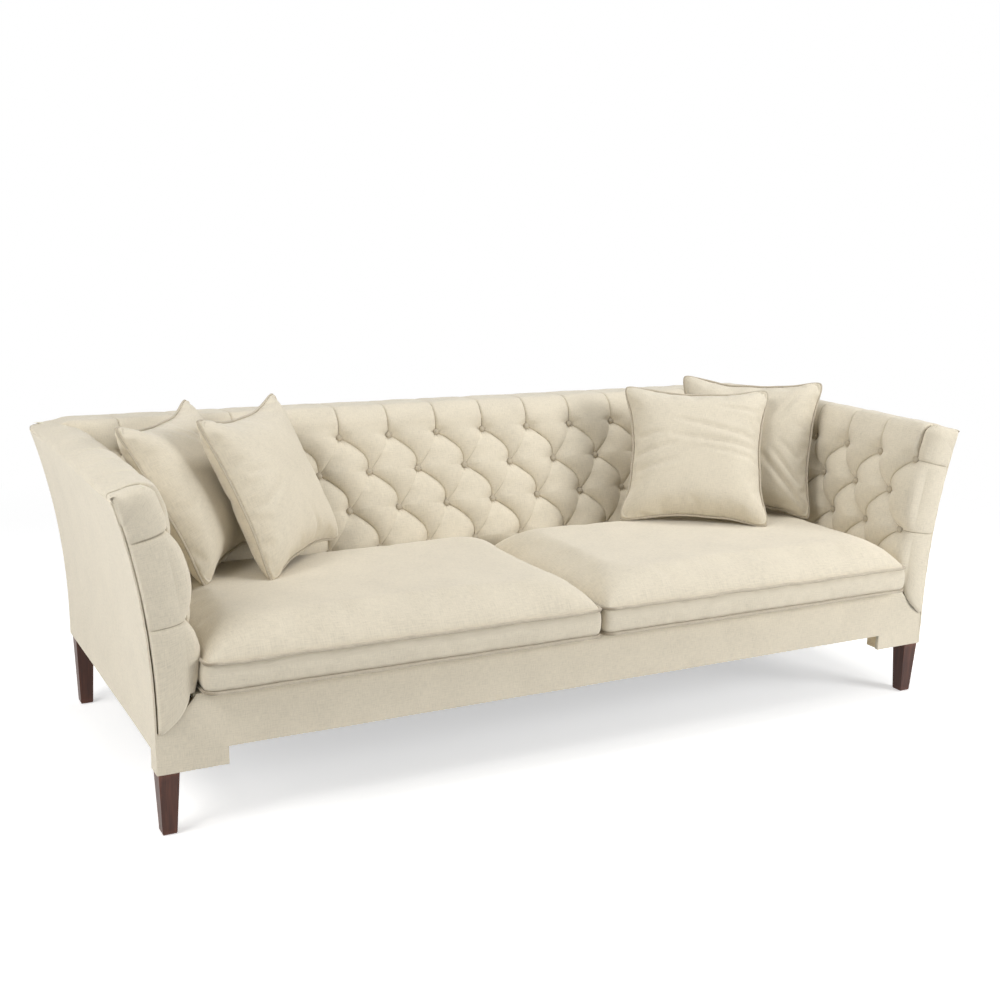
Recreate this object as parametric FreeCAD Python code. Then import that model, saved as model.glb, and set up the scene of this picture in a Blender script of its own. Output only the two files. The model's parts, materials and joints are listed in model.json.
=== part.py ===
"""Tufted three-seat sofa with flared arms, two loose seat cushions and four scatter cushions.

Frame: origin on the floor under the middle of the sofa, +X to the sitter's left
(the right-hand end seen from the front), +Y to the back, +Z up. Millimetres.
"""
import FreeCAD
import Part
import math
import os

from FreeCAD import Vector

# Overall form
base_width = 2247.0
top_width = 2400.0
base_depth = 938.0
overall_depth = 1000.0
arm_height = 766.0
flare_start = 250.0
back_top_height = 799.0

# Heights under the upholstery
front_leg_height = 150.0
rear_leg_height = 198.0
border_notch_height = 192.0
rail_bottom = 200.0
rail_top = 305.0
deck_height = 325.0

# Timber
timber = 28.0
arm_timber = 42.0
post_depth = 45.0
upright_thickness = 18.0
upright_count = 5
upright_room = 113.5
cross_rail_positions = (-350.0, 350.0)
cross_rail_height = 60.0
drop_width = 162.0
drop_depth = 52.0
brace_size = 90.0
brace_height = 50.0
brace_screw_levels = (0.3, 0.7)
brace_screw_in = 40.5
brace_screw_back = 31.5

# Upholstery layers
skin = 8.0
webbing = 2.0
foam = 24.0
quilt = 16.0
border_thickness = 12.0
back_skin = 5.0
deck_cloth = 2.0
dust_cloth = 1.5
strap_width = 60.0

# Rake of the back: the tufts' floor at the lowest button row, from the top rear edge and the floor
back_floor_room = 275.0
back_floor_z = 418.0
back_rake = 0.40

# Tufting
back_pitch = 152.8
back_rows = (418.0, 522.0, 622.0, 720.0)
arm_pitch = 141.5
arm_rows = (391.0, 493.0, 595.0, 695.0)
arm_column_room = 37.0
seat_square = 20.0
pleat_width = 6.0
tuft_rise = 29.0
end_rise_ratio = 0.12
button_diameter = 19.0
button_height = 7.0
button_side_share = 0.3

# Seat cushions
cushion_gap = 2.0
cushion_side_room = 100.0
cushion_overhang = 36.0
cushion_back_room = 59.0
seam_low = 6.0
boxing_height = 67.0
crown_height = 70.0
piping_diameter = 8.0
cushion_cloth = 2.0

# Scatter cushions
pillow_size = 450.0
pillow_half_thickness = 70.0
pillow_draw = 22.0
pillow_cloth = 2.0
pillow_piping = 6.0

# Scatter cushions: room to the arm, room to the back, turn and lean
pillow_stands = {
    "pillow_rear_left": (174.0, 247.0, 52.0, 29.0),
    "pillow_front_left": (367.0, 282.0, 45.5, 26.0),
    "pillow_rear_right": (171.0, 268.0, -45.0, 24.5),
    "pillow_front_right": (396.5, 316.0, -33.5, 31.0),
}

# Small parts
leg_top = 47.0
leg_foot = 33.0
leg_inset = 4.0
leg_bevel = 3.0
glide_diameter = 22.0
glide_height = 2.0
bolt_diameter = 8.0
bolt_in_leg = 40.0
bolt_in_frame = 32.0
nut_diameter = 18.0
nut_height = 8.0
spring_wire = 4.0
spring_half_width = 25.0
spring_loops = 19
screw_diameter = 5.0
screw_length = 45.0
screw_head = 9.0
zip_width = 24.0
zip_thickness = 1.0
zip_pull_length = 26.0

springs_per_bay = 4
clip_width = 16.0
clip_sheet = 1.2
zip_slider = 9.0
zip_slider_height = 3.5
zip_end_room = 120.0

# Forms of the soft pieces
back_columns_each_side = 6
arm_columns = 5
back_rises = (0.35, 1.0, 1.0, 1.0, 1.0, 0.85)
arm_rises = (0.2, 0.33, 0.72, 1.0, 1.0, 0.85)
quilt_foot = 5.0
quilt_edge = 8.0
back_roll = 45.0
roll_foam = 10.0
arm_roll = 12.0
arm_roll_climb = 1.6
end_seat = 14.0
arm_front_swell = 6.0
pleat_depth = 4.0
front_face_rise = 3.0
front_corner_share = 0.84
front_corner_rise = 4.0
border_seam_low = 246.0
foam_foot_share = 0.35
seam_inset = 8.3
boxing_inset = 4.5
cushion_corner = 22.0
crown_steps = 6
crown_run = 160.0
crown_corner = 0.25
crown_swell = 22.0
pillow_corner = 12.0
pillow_edge = 1.0
pillow_run = 0.72
pillow_round = 0.15
pillow_steps = 7
settle_steps = 12

# Sections over the top of an arm: angle, then the heights of foam, quilt and floor over the timber, then rise
arm_roll_sections = (
    (12.0, 0.8, 6.5, 9.5, 0.6),
    (18.0, 0.2, 8.0, 17.0, 0.5),
    (34.0, 0.2, 7.0, 17.0, 0.35),
    (58.0, 0.2, 5.0, 13.0, 0.2),
    (84.0, 0.2, 2.0, 8.0, 0.1),
)

# Clearances
cut_room = 200.0
fit_gap = 0.3
thread_gap = 0.05
bolt_end_gap = 1.0

# Values worked out from the sizes above
half_base = base_width / 2
flare = (top_width - base_width) / 2
flare_rise = arm_height - flare_start
arm_radius = (flare_rise ** 2 + flare ** 2) / (2 * flare)
arm_centre_x = half_base + arm_radius
top_angle = math.asin(flare_rise / arm_radius)
rear_top_y = overall_depth / 2
rear_base_y = rear_top_y - 26.0
front_y = rear_base_y - base_depth
frame_front_y = front_y + border_thickness
rear_slope = (rear_top_y - rear_base_y) / (back_top_height - rear_leg_height)
timber_in = skin + arm_timber
foam_in = timber_in + webbing
quilt_in = foam_in + foam
floor_in = quilt_in + quilt
rake_length = math.hypot(1.0, back_rake)
mitre_x = half_base + flare - skin
mitre_y = rear_top_y - skin
back_floor_y = rear_top_y - back_floor_room
deck_floor_y = back_floor_y + back_rake * (deck_height - back_floor_z)
mitre_slope = (mitre_y - deck_floor_y) / (mitre_x - (half_base - floor_in - tuft_rise))
arm_first_column = front_y + arm_column_room
cushion_back_y = back_floor_y - cushion_back_room
chord_ease = fit_gap + (arm_rows[1] - arm_rows[0]) ** 2 / (8 * abs(arm_radius))
upright_end = half_base - upright_room
upright_positions = [upright_end * (2 * k / (upright_count - 1) - 1) for k in range(upright_count)]


def arm_point(depth, angle, rise=0.0):
    """A point (x, z) of the right arm's section: depth in from the outer face, at an angle up it."""
    reach = arm_radius + depth
    if angle * arm_radius <= 0:
        return (half_base - depth, flare_start + angle * arm_radius + rise)
    x = arm_centre_x - reach * math.cos(angle) + rise * math.sin(angle)
    z = flare_start + reach * math.sin(angle) + rise * math.cos(angle)
    return (x, z)


def arm_angle(depth, z):
    """The angle at which the arm's section reaches height z at a depth; negative on the upright foot."""
    if z <= flare_start:
        return (z - flare_start) / arm_radius
    return math.asin((z - flare_start) / (arm_radius + depth))


def rear_y(z):
    """The outside of the back at height z."""
    return rear_base_y + rear_slope * (z - rear_leg_height)


def floor_y(z):
    """The tufts' floor on the back at height z."""
    return back_floor_y + back_rake * (z - back_floor_z)


def frame_rake_y(z):
    """The raked front of the back's timber at height z."""
    return floor_y(z) + (quilt + foam + webbing) * rake_length


def mitre_at_x(x):
    """Where the corner between back and arm lies, as y for a given x."""
    return mitre_y + mitre_slope * (x - mitre_x)


def mitre_at_y(y):
    """Where the corner between back and arm lies, as x for a given y."""
    return mitre_x + (y - mitre_y) / mitre_slope


def box(x0, x1, y0, y1, z0, z1):
    """A block between two corners."""
    return Part.makeBox(x1 - x0, y1 - y0, z1 - z0, Vector(x0, y0, z0))


def line(a, b):
    """A straight edge between two points."""
    return Part.makeLine(a, b)


def arc(a, middle, b):
    """A round edge through three points."""
    return Part.Arc(a, middle, b).toShape()


def bulge(a, b, direction, rise):
    """An edge from a to b that rises along a direction at its middle; straight where the rise is nil."""
    if rise < 0.05:
        return line(a, b)
    return arc(a, (a + b) * 0.5 + direction * rise, b)


def mirror_x(shape):
    """The same shape at the other end of the sofa."""
    return shape.mirror(Vector(0, 0, 0), Vector(1, 0, 0))


def save(name, shape):
    """Write one sub-part."""
    shape.exportStep("parts/" + name + ".step")
    print(name, len(shape.Solids), "solids", shape.isValid(), round(shape.Volume / 1000), "cm3")


def save_pair(name, shape):
    """Write the right-hand sub-part and its mirror image."""
    save(name + "_right", shape)
    save(name + "_left", mirror_x(shape))


def loft(wires):
    """A solid with straight rulings from section to section."""
    return Part.makeLoft(wires, True, True)


def round_cord(edges, diameter):
    """A cord along a run of edges that follow on from one another."""
    start = edges[0].Vertexes[0].Point
    way = edges[0].tangentAt(edges[0].FirstParameter)
    ring = Part.Wire([Part.makeCircle(diameter / 2, start, way)])
    cord = Part.Wire(edges).makePipeShell([ring], True, False)
    if cord.Volume < 0:
        cord.reverse()
    return cord


def slanted_rear(depth):
    """A block that lies behind the back's slanted outside, moved in by a depth."""
    z0 = 0.0
    z1 = back_top_height + cut_room
    reach = cut_room
    low = rear_y(z0)
    high = rear_y(z1)
    corners = [(low - depth, z0), (high - depth, z1), (high + reach, z1), (low + reach, z0)]
    points = [Vector(-top_width, y, z) for y, z in corners]
    face = Part.Face(Part.makePolygon(points + points[:1]))
    return face.extrude(Vector(2 * top_width, 0, 0))


def arm_band(depth0, depth1, angle0, angle1, y0, y1):
    """A length of the right arm's section between two depths, run along Y."""
    inner0 = arm_point(depth1, angle0)
    inner1 = arm_point(depth1, angle1)
    outer0 = arm_point(depth0, angle0)
    outer1 = arm_point(depth0, angle1)
    edges = []

    def side(start, end, depth, a0, a1):
        """The edges along one depth, with a straight foot below the flare."""
        if min(a0 * arm_radius, a1 * arm_radius) >= 0:
            middle = arm_point(depth, (a0 + a1) / 2)
            edges.append(arc(*[Vector(x, y0, z) for x, z in (start, middle, end)]))
            return
        knee = Vector(half_base - depth, y0, flare_start)
        if a0 * arm_radius < 0:
            edges.append(line(Vector(start[0], y0, start[1]), knee))
            middle = arm_point(depth, a1 / 2)
            edges.append(arc(knee, Vector(middle[0], y0, middle[1]), Vector(end[0], y0, end[1])))
            return
        middle = arm_point(depth, a0 / 2)
        edges.append(arc(Vector(start[0], y0, start[1]), Vector(middle[0], y0, middle[1]), knee))
        edges.append(line(knee, Vector(end[0], y0, end[1])))

    side(outer0, outer1, depth0, angle0, angle1)
    edges.append(line(Vector(outer1[0], y0, outer1[1]), Vector(inner1[0], y0, inner1[1])))
    side(inner1, inner0, depth1, angle1, angle0)
    edges.append(line(Vector(inner0[0], y0, inner0[1]), Vector(outer0[0], y0, outer0[1])))
    return Part.Face(Part.Wire(edges)).extrude(Vector(0, y1 - y0, 0))


# Seat box: rails, spring rail, cross rails and the blocks that drop to the front legs
post_rear_y0 = rear_base_y - skin - post_depth
side_rail_y0 = frame_front_y + post_depth
rail_in_x = half_base - timber_in
spring_rail_y0 = frame_rake_y(rail_top)
back_rail_y1 = rear_base_y - skin


def build_seat_box():
    """The rails of the seat, with the pilot holes for their screws."""
    front = box(-rail_in_x, rail_in_x, frame_front_y, frame_front_y + timber, rail_bottom, rail_top)
    back = box(-rail_in_x, rail_in_x, back_rail_y1 - timber, back_rail_y1, rail_bottom, rail_top)
    side_x1 = half_base - skin
    side = box(side_x1 - timber, side_x1, side_rail_y0, post_rear_y0, rail_bottom, rail_top)
    rail_half = side_x1 - timber
    spring_rail = box(-rail_half, rail_half, spring_rail_y0, spring_rail_y0 + timber, rail_bottom, rail_top)
    cross = [
        box(x - timber / 2, x + timber / 2, frame_front_y + timber, spring_rail_y0, rail_bottom,
            rail_bottom + cross_rail_height)
        for x in cross_rail_positions
    ]
    return front, back, side, spring_rail, Part.makeCompound(cross)


def build_braces():
    """Triangular corner braces, each with two screws into the front or back rail."""
    z0 = (rail_bottom + rail_top - brace_height) / 2
    corner_x = rail_in_x
    braces = []
    screws = []
    for side in (-1, 1):
        for end, y in ((1, frame_front_y + timber), (-1, back_rail_y1 - timber)):
            corner = Vector(side * corner_x, y, z0)
            along = Vector(-side * brace_size, 0, 0)
            back_off = Vector(0, end * brace_size, 0)
            points = [corner, corner + along, corner + back_off]
            brace = Part.Face(Part.makePolygon(points + points[:1])).extrude(Vector(0, 0, brace_height))
            for share in brace_screw_levels:
                place = corner + Vector(-side * brace_screw_in, end * brace_screw_back, brace_height * share)
                shank = Part.makeCylinder(screw_diameter / 2, screw_length, place, Vector(0, -end, 0))
                head = Part.makeCylinder(screw_head / 2, screw_diameter * 0.6, place, Vector(0, end, 0))
                screws.append(shank.fuse(head).removeSplitter())
            braces.append(brace)
    return braces, screws


def screw_holes(shape, screws):
    """The shape with clearance for every screw that goes into it."""
    holes = []
    for screw in screws:
        if screw.BoundBox.intersect(shape.BoundBox):
            centre = screw.BoundBox.Center
            reach = screw.BoundBox.YLength / 2 + fit_gap
            start = Vector(centre.x, centre.y - reach, centre.z)
            holes.append(Part.makeCylinder(screw_head / 2 + fit_gap, 2 * reach, start, Vector(0, 1, 0)))
    for hole in holes:
        shape = shape.cut(hole)
    return shape


# Arms: posts, top rail, tack rail and webbing
def build_arm_frame():
    """The right arm's timber and webbing."""
    foot = arm_angle(skin, rail_bottom)
    rail_low = top_angle - timber / arm_radius
    front_post = arm_band(skin, timber_in, foot, rail_low, frame_front_y, side_rail_y0)
    rear_foot = arm_angle(skin, rear_leg_height)
    rear_post = arm_band(skin, timber_in, rear_foot, rail_low, post_rear_y0, rear_top_y)
    rear_post = rear_post.cut(slanted_rear(back_skin))
    top_rail = arm_band(skin, timber_in, rail_low, top_angle, frame_front_y, rear_top_y)
    top_rail = top_rail.cut(slanted_rear(back_skin))
    tack_low = arm_angle(timber_in, deck_height + skin)
    tack_high = tack_low + timber / arm_radius
    tack_rail = arm_band(timber_in - timber, timber_in, tack_low, tack_high, side_rail_y0, post_rear_y0)
    straps = []
    strap_high = top_angle - arm_roll / arm_radius
    strap_count = 4
    room = (floor_y(arm_height) - side_rail_y0) / strap_count
    for index in range(strap_count):
        y0 = side_rail_y0 + room * (index + 0.5) - strap_width / 2
        straps.append(arm_band(timber_in, foam_in - chord_ease, tack_low, strap_high, y0, y0 + strap_width))
    return front_post, rear_post, top_rail, tack_rail, straps


def build_back_frame():
    """The raked uprights, top rail and webbing of the back."""
    top = back_rail_top()
    rail_low = top - timber
    edge = [(frame_rake_y(rail_top), rail_top), (frame_rake_y(rail_low), rail_low),
            (rear_y(rail_low) - back_skin, rail_low), (back_rail_y1, rail_top)]
    uprights = []
    for x in upright_positions:
        points = [Vector(x - upright_thickness / 2, y, z) for y, z in edge]
        face = Part.Face(Part.makePolygon(points + points[:1]))
        uprights.append(face.extrude(Vector(upright_thickness, 0, 0)))
    rail_half = mitre_at_y(frame_rake_y(top)) - foam / 2
    rail = box(-rail_half, rail_half, frame_rake_y(top), rear_top_y, rail_low, top)
    rail = rail.cut(slanted_rear(back_skin))
    straps = []
    strap_half = upright_positions[-1] + upright_thickness
    strap_rows = 4
    low = deck_height + strap_width
    step = (rail_low - low) / strap_rows
    for index in range(strap_rows):
        z0 = low + step * index
        z1 = z0 + strap_width / rake_length
        outline = [(frame_rake_y(z0), z0), (frame_rake_y(z1), z1),
                   (frame_rake_y(z1) - webbing / rake_length, z1 + webbing * back_rake / rake_length),
                   (frame_rake_y(z0) - webbing / rake_length, z0 + webbing * back_rake / rake_length)]
        points = [Vector(-strap_half, y, z) for y, z in outline]
        straps.append(Part.Face(Part.makePolygon(points + points[:1])).extrude(Vector(2 * strap_half, 0, 0)))
    return uprights, rail, straps


# Tufted pads
def tuft_breaks(columns, width, low, high, margin):
    """Edges of the narrow and wide seats, kept in order between the pad's two ends."""
    breaks = []
    for column in columns:
        breaks.append(column - width / 2)
        breaks.append(column + width / 2)
    count = len(breaks)
    held = []
    for index, value in enumerate(breaks):
        value = max(value, low + margin * (index + 1))
        held.append(min(value, high - margin * (count - index)))
    return held


def tuft_edges(stops, place, direction, rise, pitch):
    """The row of round swells between the stops; the first and last rise gently."""
    edges = []
    widest = pitch - seat_square
    last = len(stops) - 2
    for index in range(len(stops) - 1):
        width = stops[index + 1] - stops[index]
        lift = rise * min(width / widest, 1.0) ** 0.85
        if width <= seat_square + 1.0:
            lift = 0.0
        if index in (0, last):
            lift = min(lift, end_rise_ratio * width)
        edges.append(bulge(place(stops[index]), place(stops[index + 1]), direction, lift))
    return edges


def row_stations(rows, rises, bottom, top):
    """Sections as (height, seat share, rise share, on a button row).

    The seat share is 0 where the even columns are pulled in by their buttons and 1 where they swell.
    """
    half = seat_square / 2
    stations = [(bottom, 0.0, rises[0], False)]
    for index, row in enumerate(rows):
        share = float(index % 2)
        rise = rises[index + 1]
        stations.append((row - half, share, rise, True))
        stations.append((row + half, share, rise, True))
        if index + 1 < len(rows):
            gap = rows[index + 1] - row - seat_square
            for part in (1.0 / 3, 2.0 / 3):
                mixed = part if share == 0.0 else 1.0 - part
                between = rise + (rises[index + 2] - rise) * part
                stations.append((row + half + gap * part, mixed, between, False))
    stations.append((top, 1.0, rises[-1], False))
    return stations


def back_stations():
    """Sections of the back: floor point, outward direction, seat share, rise share, quilt, foam."""
    normal = (-1.0 / rake_length, back_rake / rake_length)
    bottom = deck_height + quilt_foot
    roll_start = back_top_height - back_roll
    stations = []
    for z, share, rise, _ in row_stations(back_rows, back_rises, bottom, roll_start):
        stations.append(((floor_y(z), z), normal, share, rise, quilt, foam - fit_gap))
    start_y = floor_y(roll_start)
    crest = back_top_height - quilt_edge / 2
    rear = rear_y(back_rail_top()) - back_skin - fit_gap
    middle = (quilt + quilt_edge) / 2
    shoulder = (start_y + 0.3 * back_roll, crest - 0.25 * back_roll)
    stations.append((shoulder, (-0.75, 0.66), 1.0, 0.5, middle, (foam + roll_foam) / 2))
    stations.append(((start_y + back_roll, crest), (-0.17, 0.985), 1.0, 0.26, quilt_edge, roll_foam))
    stations.append(((rear, crest), (0.0, 1.0), 1.0, 0.12, quilt_edge, roll_foam))
    return stations


back_columns = [back_pitch * k for k in range(-back_columns_each_side, back_columns_each_side + 1)]
back_odd_columns = [column + back_pitch / 2 for column in [back_columns[0] - back_pitch] + back_columns]
arm_even_columns = [arm_first_column + arm_pitch * (k + 0.5) for k in range(arm_columns)]
arm_odd_columns = [arm_first_column + arm_pitch * k for k in range(arm_columns + 1)]


def back_rail_top():
    """The top of the back's timber, under the foam and quilt of the roll."""
    return back_top_height - 1.5 * quilt_edge - roll_foam - fit_gap


def seat_width(share, pitch):
    """Width of an even column's seat for a share from pulled in to swelled."""
    return seat_square + share * (pitch - 2 * seat_square)


def build_back_pad():
    """The tufted inside back with its cover, and the foam layer that it is tied to."""
    quilt_wires = []
    foam_wires = []
    deep_limit = arm_point(quilt_in, top_angle)[0]
    for floor, normal, share, rise, thick, foam_thick in back_stations():
        direction = Vector(0, normal[0], normal[1])
        inner = (floor[0] - normal[0] * thick, floor[1] - normal[1] * thick)
        deep = (inner[0] - normal[0] * foam_thick, inner[1] - normal[1] * foam_thick)
        ends = [mitre_at_y(point[0]) - fit_gap for point in (floor, inner, deep)]
        ends[2] = min(ends[2], deep_limit)
        width = seat_width(share, back_pitch)
        breaks = tuft_breaks(back_columns, width, -ends[0] + end_seat, ends[0] - end_seat, pleat_width)
        outer = min(back_odd_columns[-1] + (back_pitch - width) / 2, ends[0] - end_seat / 2)
        stops = [-ends[0], -outer] + breaks + [outer, ends[0]]

        def place(x, y=floor[0], z=floor[1]):
            """A point of the tufts' floor."""
            return Vector(x, y, z)

        a = Vector(-ends[1], inner[0], inner[1])
        b = Vector(ends[1], inner[0], inner[1])
        swells = tuft_edges(stops, place, direction, tuft_rise * rise, back_pitch)
        closing = [line(place(ends[0]), b), line(b, a)]
        quilt_wires.append(Part.Wire([line(a, place(-ends[0]))] + swells + closing))
        c = Vector(-ends[2], deep[0], deep[1])
        d = Vector(ends[2], deep[0], deep[1])
        foam_wires.append(Part.makePolygon([a, b, d, c, a]))
    return loft(quilt_wires), loft(foam_wires)


def arm_stations():
    """Sections of the right arm's quilt: anchor, direction, three reaches, share, rise, pleat.

    The reaches go in to the back of the foam, to the back of the quilt and to the tufts' floor.
    """
    edge = fit_gap
    stations = []
    seam_anchor = Vector(half_base - edge, 0, border_seam_low)
    foot = arm_point(floor_in, arm_angle(floor_in, deck_height + quilt_foot))
    reach = Vector(foot[0], 0, foot[1]) - seam_anchor
    direction = Vector(reach.x, 0, reach.z).normalize()
    stretch = reach.Length / (floor_in - edge)
    stations.append((seam_anchor, direction, (foam_in - edge) * stretch, (quilt_in - edge) * stretch,
                     reach.Length, 0.0, arm_rises[0], False))
    top = arm_point(floor_in, top_angle)[1] - arm_roll
    for z, share, rise, pleat in row_stations(arm_rows, arm_rises, foot[1], top)[1:]:
        angle = arm_angle(floor_in, z)
        anchor = arm_point(edge, angle)
        tilt = angle if angle * arm_radius > 0 else 0.0
        direction = Vector(-math.cos(tilt), 0, math.sin(tilt))
        reaches = (foam_in - edge, quilt_in - edge, floor_in - edge)
        middle = Vector(anchor[0], 0, anchor[1])
        stations.append((middle, direction, *reaches, share, rise, pleat and share == 1.0))
    inward = Vector(-math.cos(top_angle), 0, math.sin(top_angle))
    upward = Vector(math.sin(top_angle), 0, math.cos(top_angle))
    sink = arm_roll
    for degrees, under, mid, over, rise in arm_roll_sections:
        sink -= arm_roll_climb
        anchor = arm_point(edge, top_angle, -sink)
        angle = math.radians(degrees)
        direction = inward * math.cos(angle) + upward * math.sin(angle)
        heights = [sink + under, sink + mid, sink + over]
        across = [height / math.sin(angle) for height in heights]
        along = [(depth - edge) / math.cos(angle) for depth in (foam_in, quilt_in, floor_in)]
        reaches = [min(pair) for pair in zip(across, along)]
        stations.append((Vector(anchor[0], 0, anchor[1]), direction, *reaches, 1.0, rise, False))
    return stations


def build_arm_pad():
    """The right arm's tufted inside with its padded front, and the foam layer that it is tied to."""
    quilt_wires = []
    foam_wires = []
    for anchor, direction, foam_reach, quilt_reach, reach, share, rise, pleat in arm_stations():
        face_y = front_y - arm_front_swell + (pleat_depth if pleat else 0.0)

        def point(distance, y, origin=anchor, way=direction):
            """A point out from the anchor at a depth position."""
            place = origin + way * distance
            return Vector(place.x, y, place.z)

        def at_mitre(distance, origin=anchor, way=direction):
            """The same point moved back to the corner with the back."""
            place = origin + way * distance
            corner_y = min(mitre_at_x(place.x), rear_y(place.z) - back_skin)
            return Vector(place.x, corner_y - 2 * fit_gap, place.z)

        rear = at_mitre(reach)
        width = seat_width(share, arm_pitch)
        front_stop = face_y + end_seat
        rear_stop = rear.y - 2 * end_seat
        breaks = tuft_breaks(arm_even_columns, width, front_stop + end_seat, rear_stop, pleat_width)
        odd_half = (arm_pitch - width) / 2
        first = max(arm_odd_columns[0] - odd_half, front_stop)
        stops = [first] + breaks + [min(arm_odd_columns[-1] + odd_half, rear.y - end_seat), rear.y]

        def place(y, at=reach, put=point):
            """A point of the tufts' floor."""
            return put(at, y)

        swells = tuft_edges(stops, place, direction, tuft_rise * rise, arm_pitch)
        corner = point(reach * front_corner_share, face_y)
        a = point(0, frame_front_y)
        b = point(0, face_y)
        turn = (direction + Vector(0, -1, 0)).normalize()
        front_rise = 0.0 if pleat else front_face_rise * reach / floor_in
        edges = [line(a, b), bulge(b, corner, Vector(0, -1, 0), front_rise)]
        edges.append(bulge(corner, place(first), turn, front_corner_rise * reach / floor_in))
        edges += swells
        c = at_mitre(quilt_reach)
        d = point(quilt_reach, frame_front_y)
        edges += [line(rear, c), line(c, d), line(d, a)]
        quilt_wires.append(Part.Wire(edges))
        e = at_mitre(foam_reach)
        f = point(foam_reach, frame_front_y)
        foam_wires.append(Part.makePolygon([d, c, e, f, d]))
    foam_wires[0] = Part.makePolygon([
        first.Point + (second.Point - first.Point) * foam_foot_share
        for first, second in zip(foam_wires[0].OrderedVertexes + foam_wires[0].OrderedVertexes[:1],
                                 foam_wires[1].OrderedVertexes + foam_wires[1].OrderedVertexes[:1])
    ])
    return loft(quilt_wires), loft(foam_wires)


def button(place, normal):
    """A covered button that stands on the tufts' floor."""
    radius = button_diameter / 2
    side = button_height * button_side_share
    dome = button_height - side
    ball = (radius ** 2 + dome ** 2) / (2 * dome)
    half_turn = math.asin(radius / ball) / 2
    rim = Vector(radius, 0, side)
    crown = Vector(0, 0, button_height)
    shoulder = Vector(ball * math.sin(half_turn), 0, button_height - ball + ball * math.cos(half_turn))
    outline = [line(Vector(0, 0, 0), Vector(radius, 0, 0)), line(Vector(radius, 0, 0), rim),
               arc(rim, shoulder, crown), line(crown, Vector(0, 0, 0))]
    solid = Part.Face(Part.Wire(outline)).revolve(Vector(0, 0, 0), Vector(0, 0, 1), 360)
    solid.Placement = FreeCAD.Placement(place, FreeCAD.Rotation(Vector(0, 0, 1), normal))
    return solid


def build_back_buttons():
    """The buttons of the back, in rows that are offset by half a pitch."""
    normal = Vector(0, -1.0, back_rake)
    buttons = []
    for index, z in enumerate(back_rows):
        for x in (back_odd_columns if index % 2 else back_columns):
            if abs(x) < mitre_at_y(floor_y(z)) - 2 * end_seat:
                buttons.append(button(Vector(x, floor_y(z), z), normal))
    return Part.makeCompound(buttons)


def build_arm_buttons():
    """The buttons of the right arm."""
    buttons = []
    for index, z in enumerate(arm_rows):
        angle = arm_angle(floor_in, z)
        x = arm_point(floor_in, angle)[0]
        normal = Vector(-math.cos(angle), 0, math.sin(angle))
        for y in (arm_odd_columns if index % 2 else arm_even_columns):
            if y < mitre_at_x(x) - 2 * end_seat:
                buttons.append(button(Vector(x, y, z), normal))
    return Part.makeCompound(buttons)


# Outside panels and the front border
def build_outer_panels():
    """The outside arm, the outside back, the border and the dust cover."""
    foot = arm_angle(0, rear_leg_height)
    arm_panel = arm_band(0, skin, foot, top_angle, frame_front_y, rear_top_y).cut(slanted_rear(back_skin))

    def back_point(x, z):
        """A point of the back's slanted outside."""
        return Vector(x, rear_y(z), z)

    knee = half_base
    middle = arm_point(0, top_angle / 2)
    top = arm_point(0, top_angle)
    crown = arm_point(floor_in, top_angle, arm_roll)
    low = rear_leg_height
    crest = back_top_height - quilt_edge
    half = [line(back_point(0, low), back_point(knee, low)),
            line(back_point(knee, low), back_point(knee, flare_start)),
            arc(back_point(knee, flare_start), back_point(*middle), back_point(*top)),
            line(back_point(*top), back_point(crown[0], crest)),
            line(back_point(crown[0], crest), back_point(0, crest)),
            line(back_point(0, crest), back_point(0, low))]
    right = Part.Face(Part.Wire(half)).extrude(Vector(0, -back_skin, 0))
    back_panel = right.fuse(mirror_x(right)).removeSplitter()

    seam = [(half_base, border_seam_low - fit_gap), (half_base - floor_in, deck_height)]
    outline = [(half_base, front_leg_height), seam[0], seam[1], (0, deck_height), (0, border_notch_height),
               (half_base - drop_width, border_notch_height), (half_base - drop_width, front_leg_height)]
    points = [Vector(x, front_y, z) for x, z in outline]
    face = Part.Face(Part.makePolygon(points + points[:1])).extrude(Vector(0, border_thickness, 0))
    wrap = box(half_base - skin, half_base, front_y, front_y + drop_depth, front_leg_height, rear_leg_height)
    border = face.fuse(wrap)
    border = border.fuse(mirror_x(border)).removeSplitter()

    dust_half = rail_in_x
    dust = box(-dust_half, dust_half, frame_front_y + drop_depth, back_rail_y1 - drop_depth,
               rail_bottom - dust_cloth, rail_bottom)
    return arm_panel, back_panel, border, dust


# Legs and what fastens them
def leg_places():
    """Names, corners and heights of the legs on the right."""
    x = half_base - leg_inset - leg_top / 2
    return (("leg_front", x, front_y + leg_inset + leg_top / 2, front_leg_height),
            ("leg_rear", x, rear_base_y - leg_inset - leg_top / 2, rear_leg_height))


def build_leg(x, y, height):
    """A square leg that tapers to its foot, with the hole for its bolt."""
    wires = []
    levels = ((glide_height, leg_foot - leg_bevel), (glide_height + leg_bevel, leg_foot), (height, leg_top))
    for z, width in levels:
        half = width / 2
        corners = [Vector(x + across * half, y + along * half, z)
                   for across, along in ((-1, -1), (1, -1), (1, 1), (-1, 1))]
        wires.append(Part.makePolygon(corners + corners[:1]))
    depth = bolt_in_leg + bolt_end_gap
    hole = Part.makeCylinder(bolt_diameter / 2 + thread_gap, depth, Vector(x, y, height - bolt_in_leg))
    return loft(wires).cut(hole)


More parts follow.
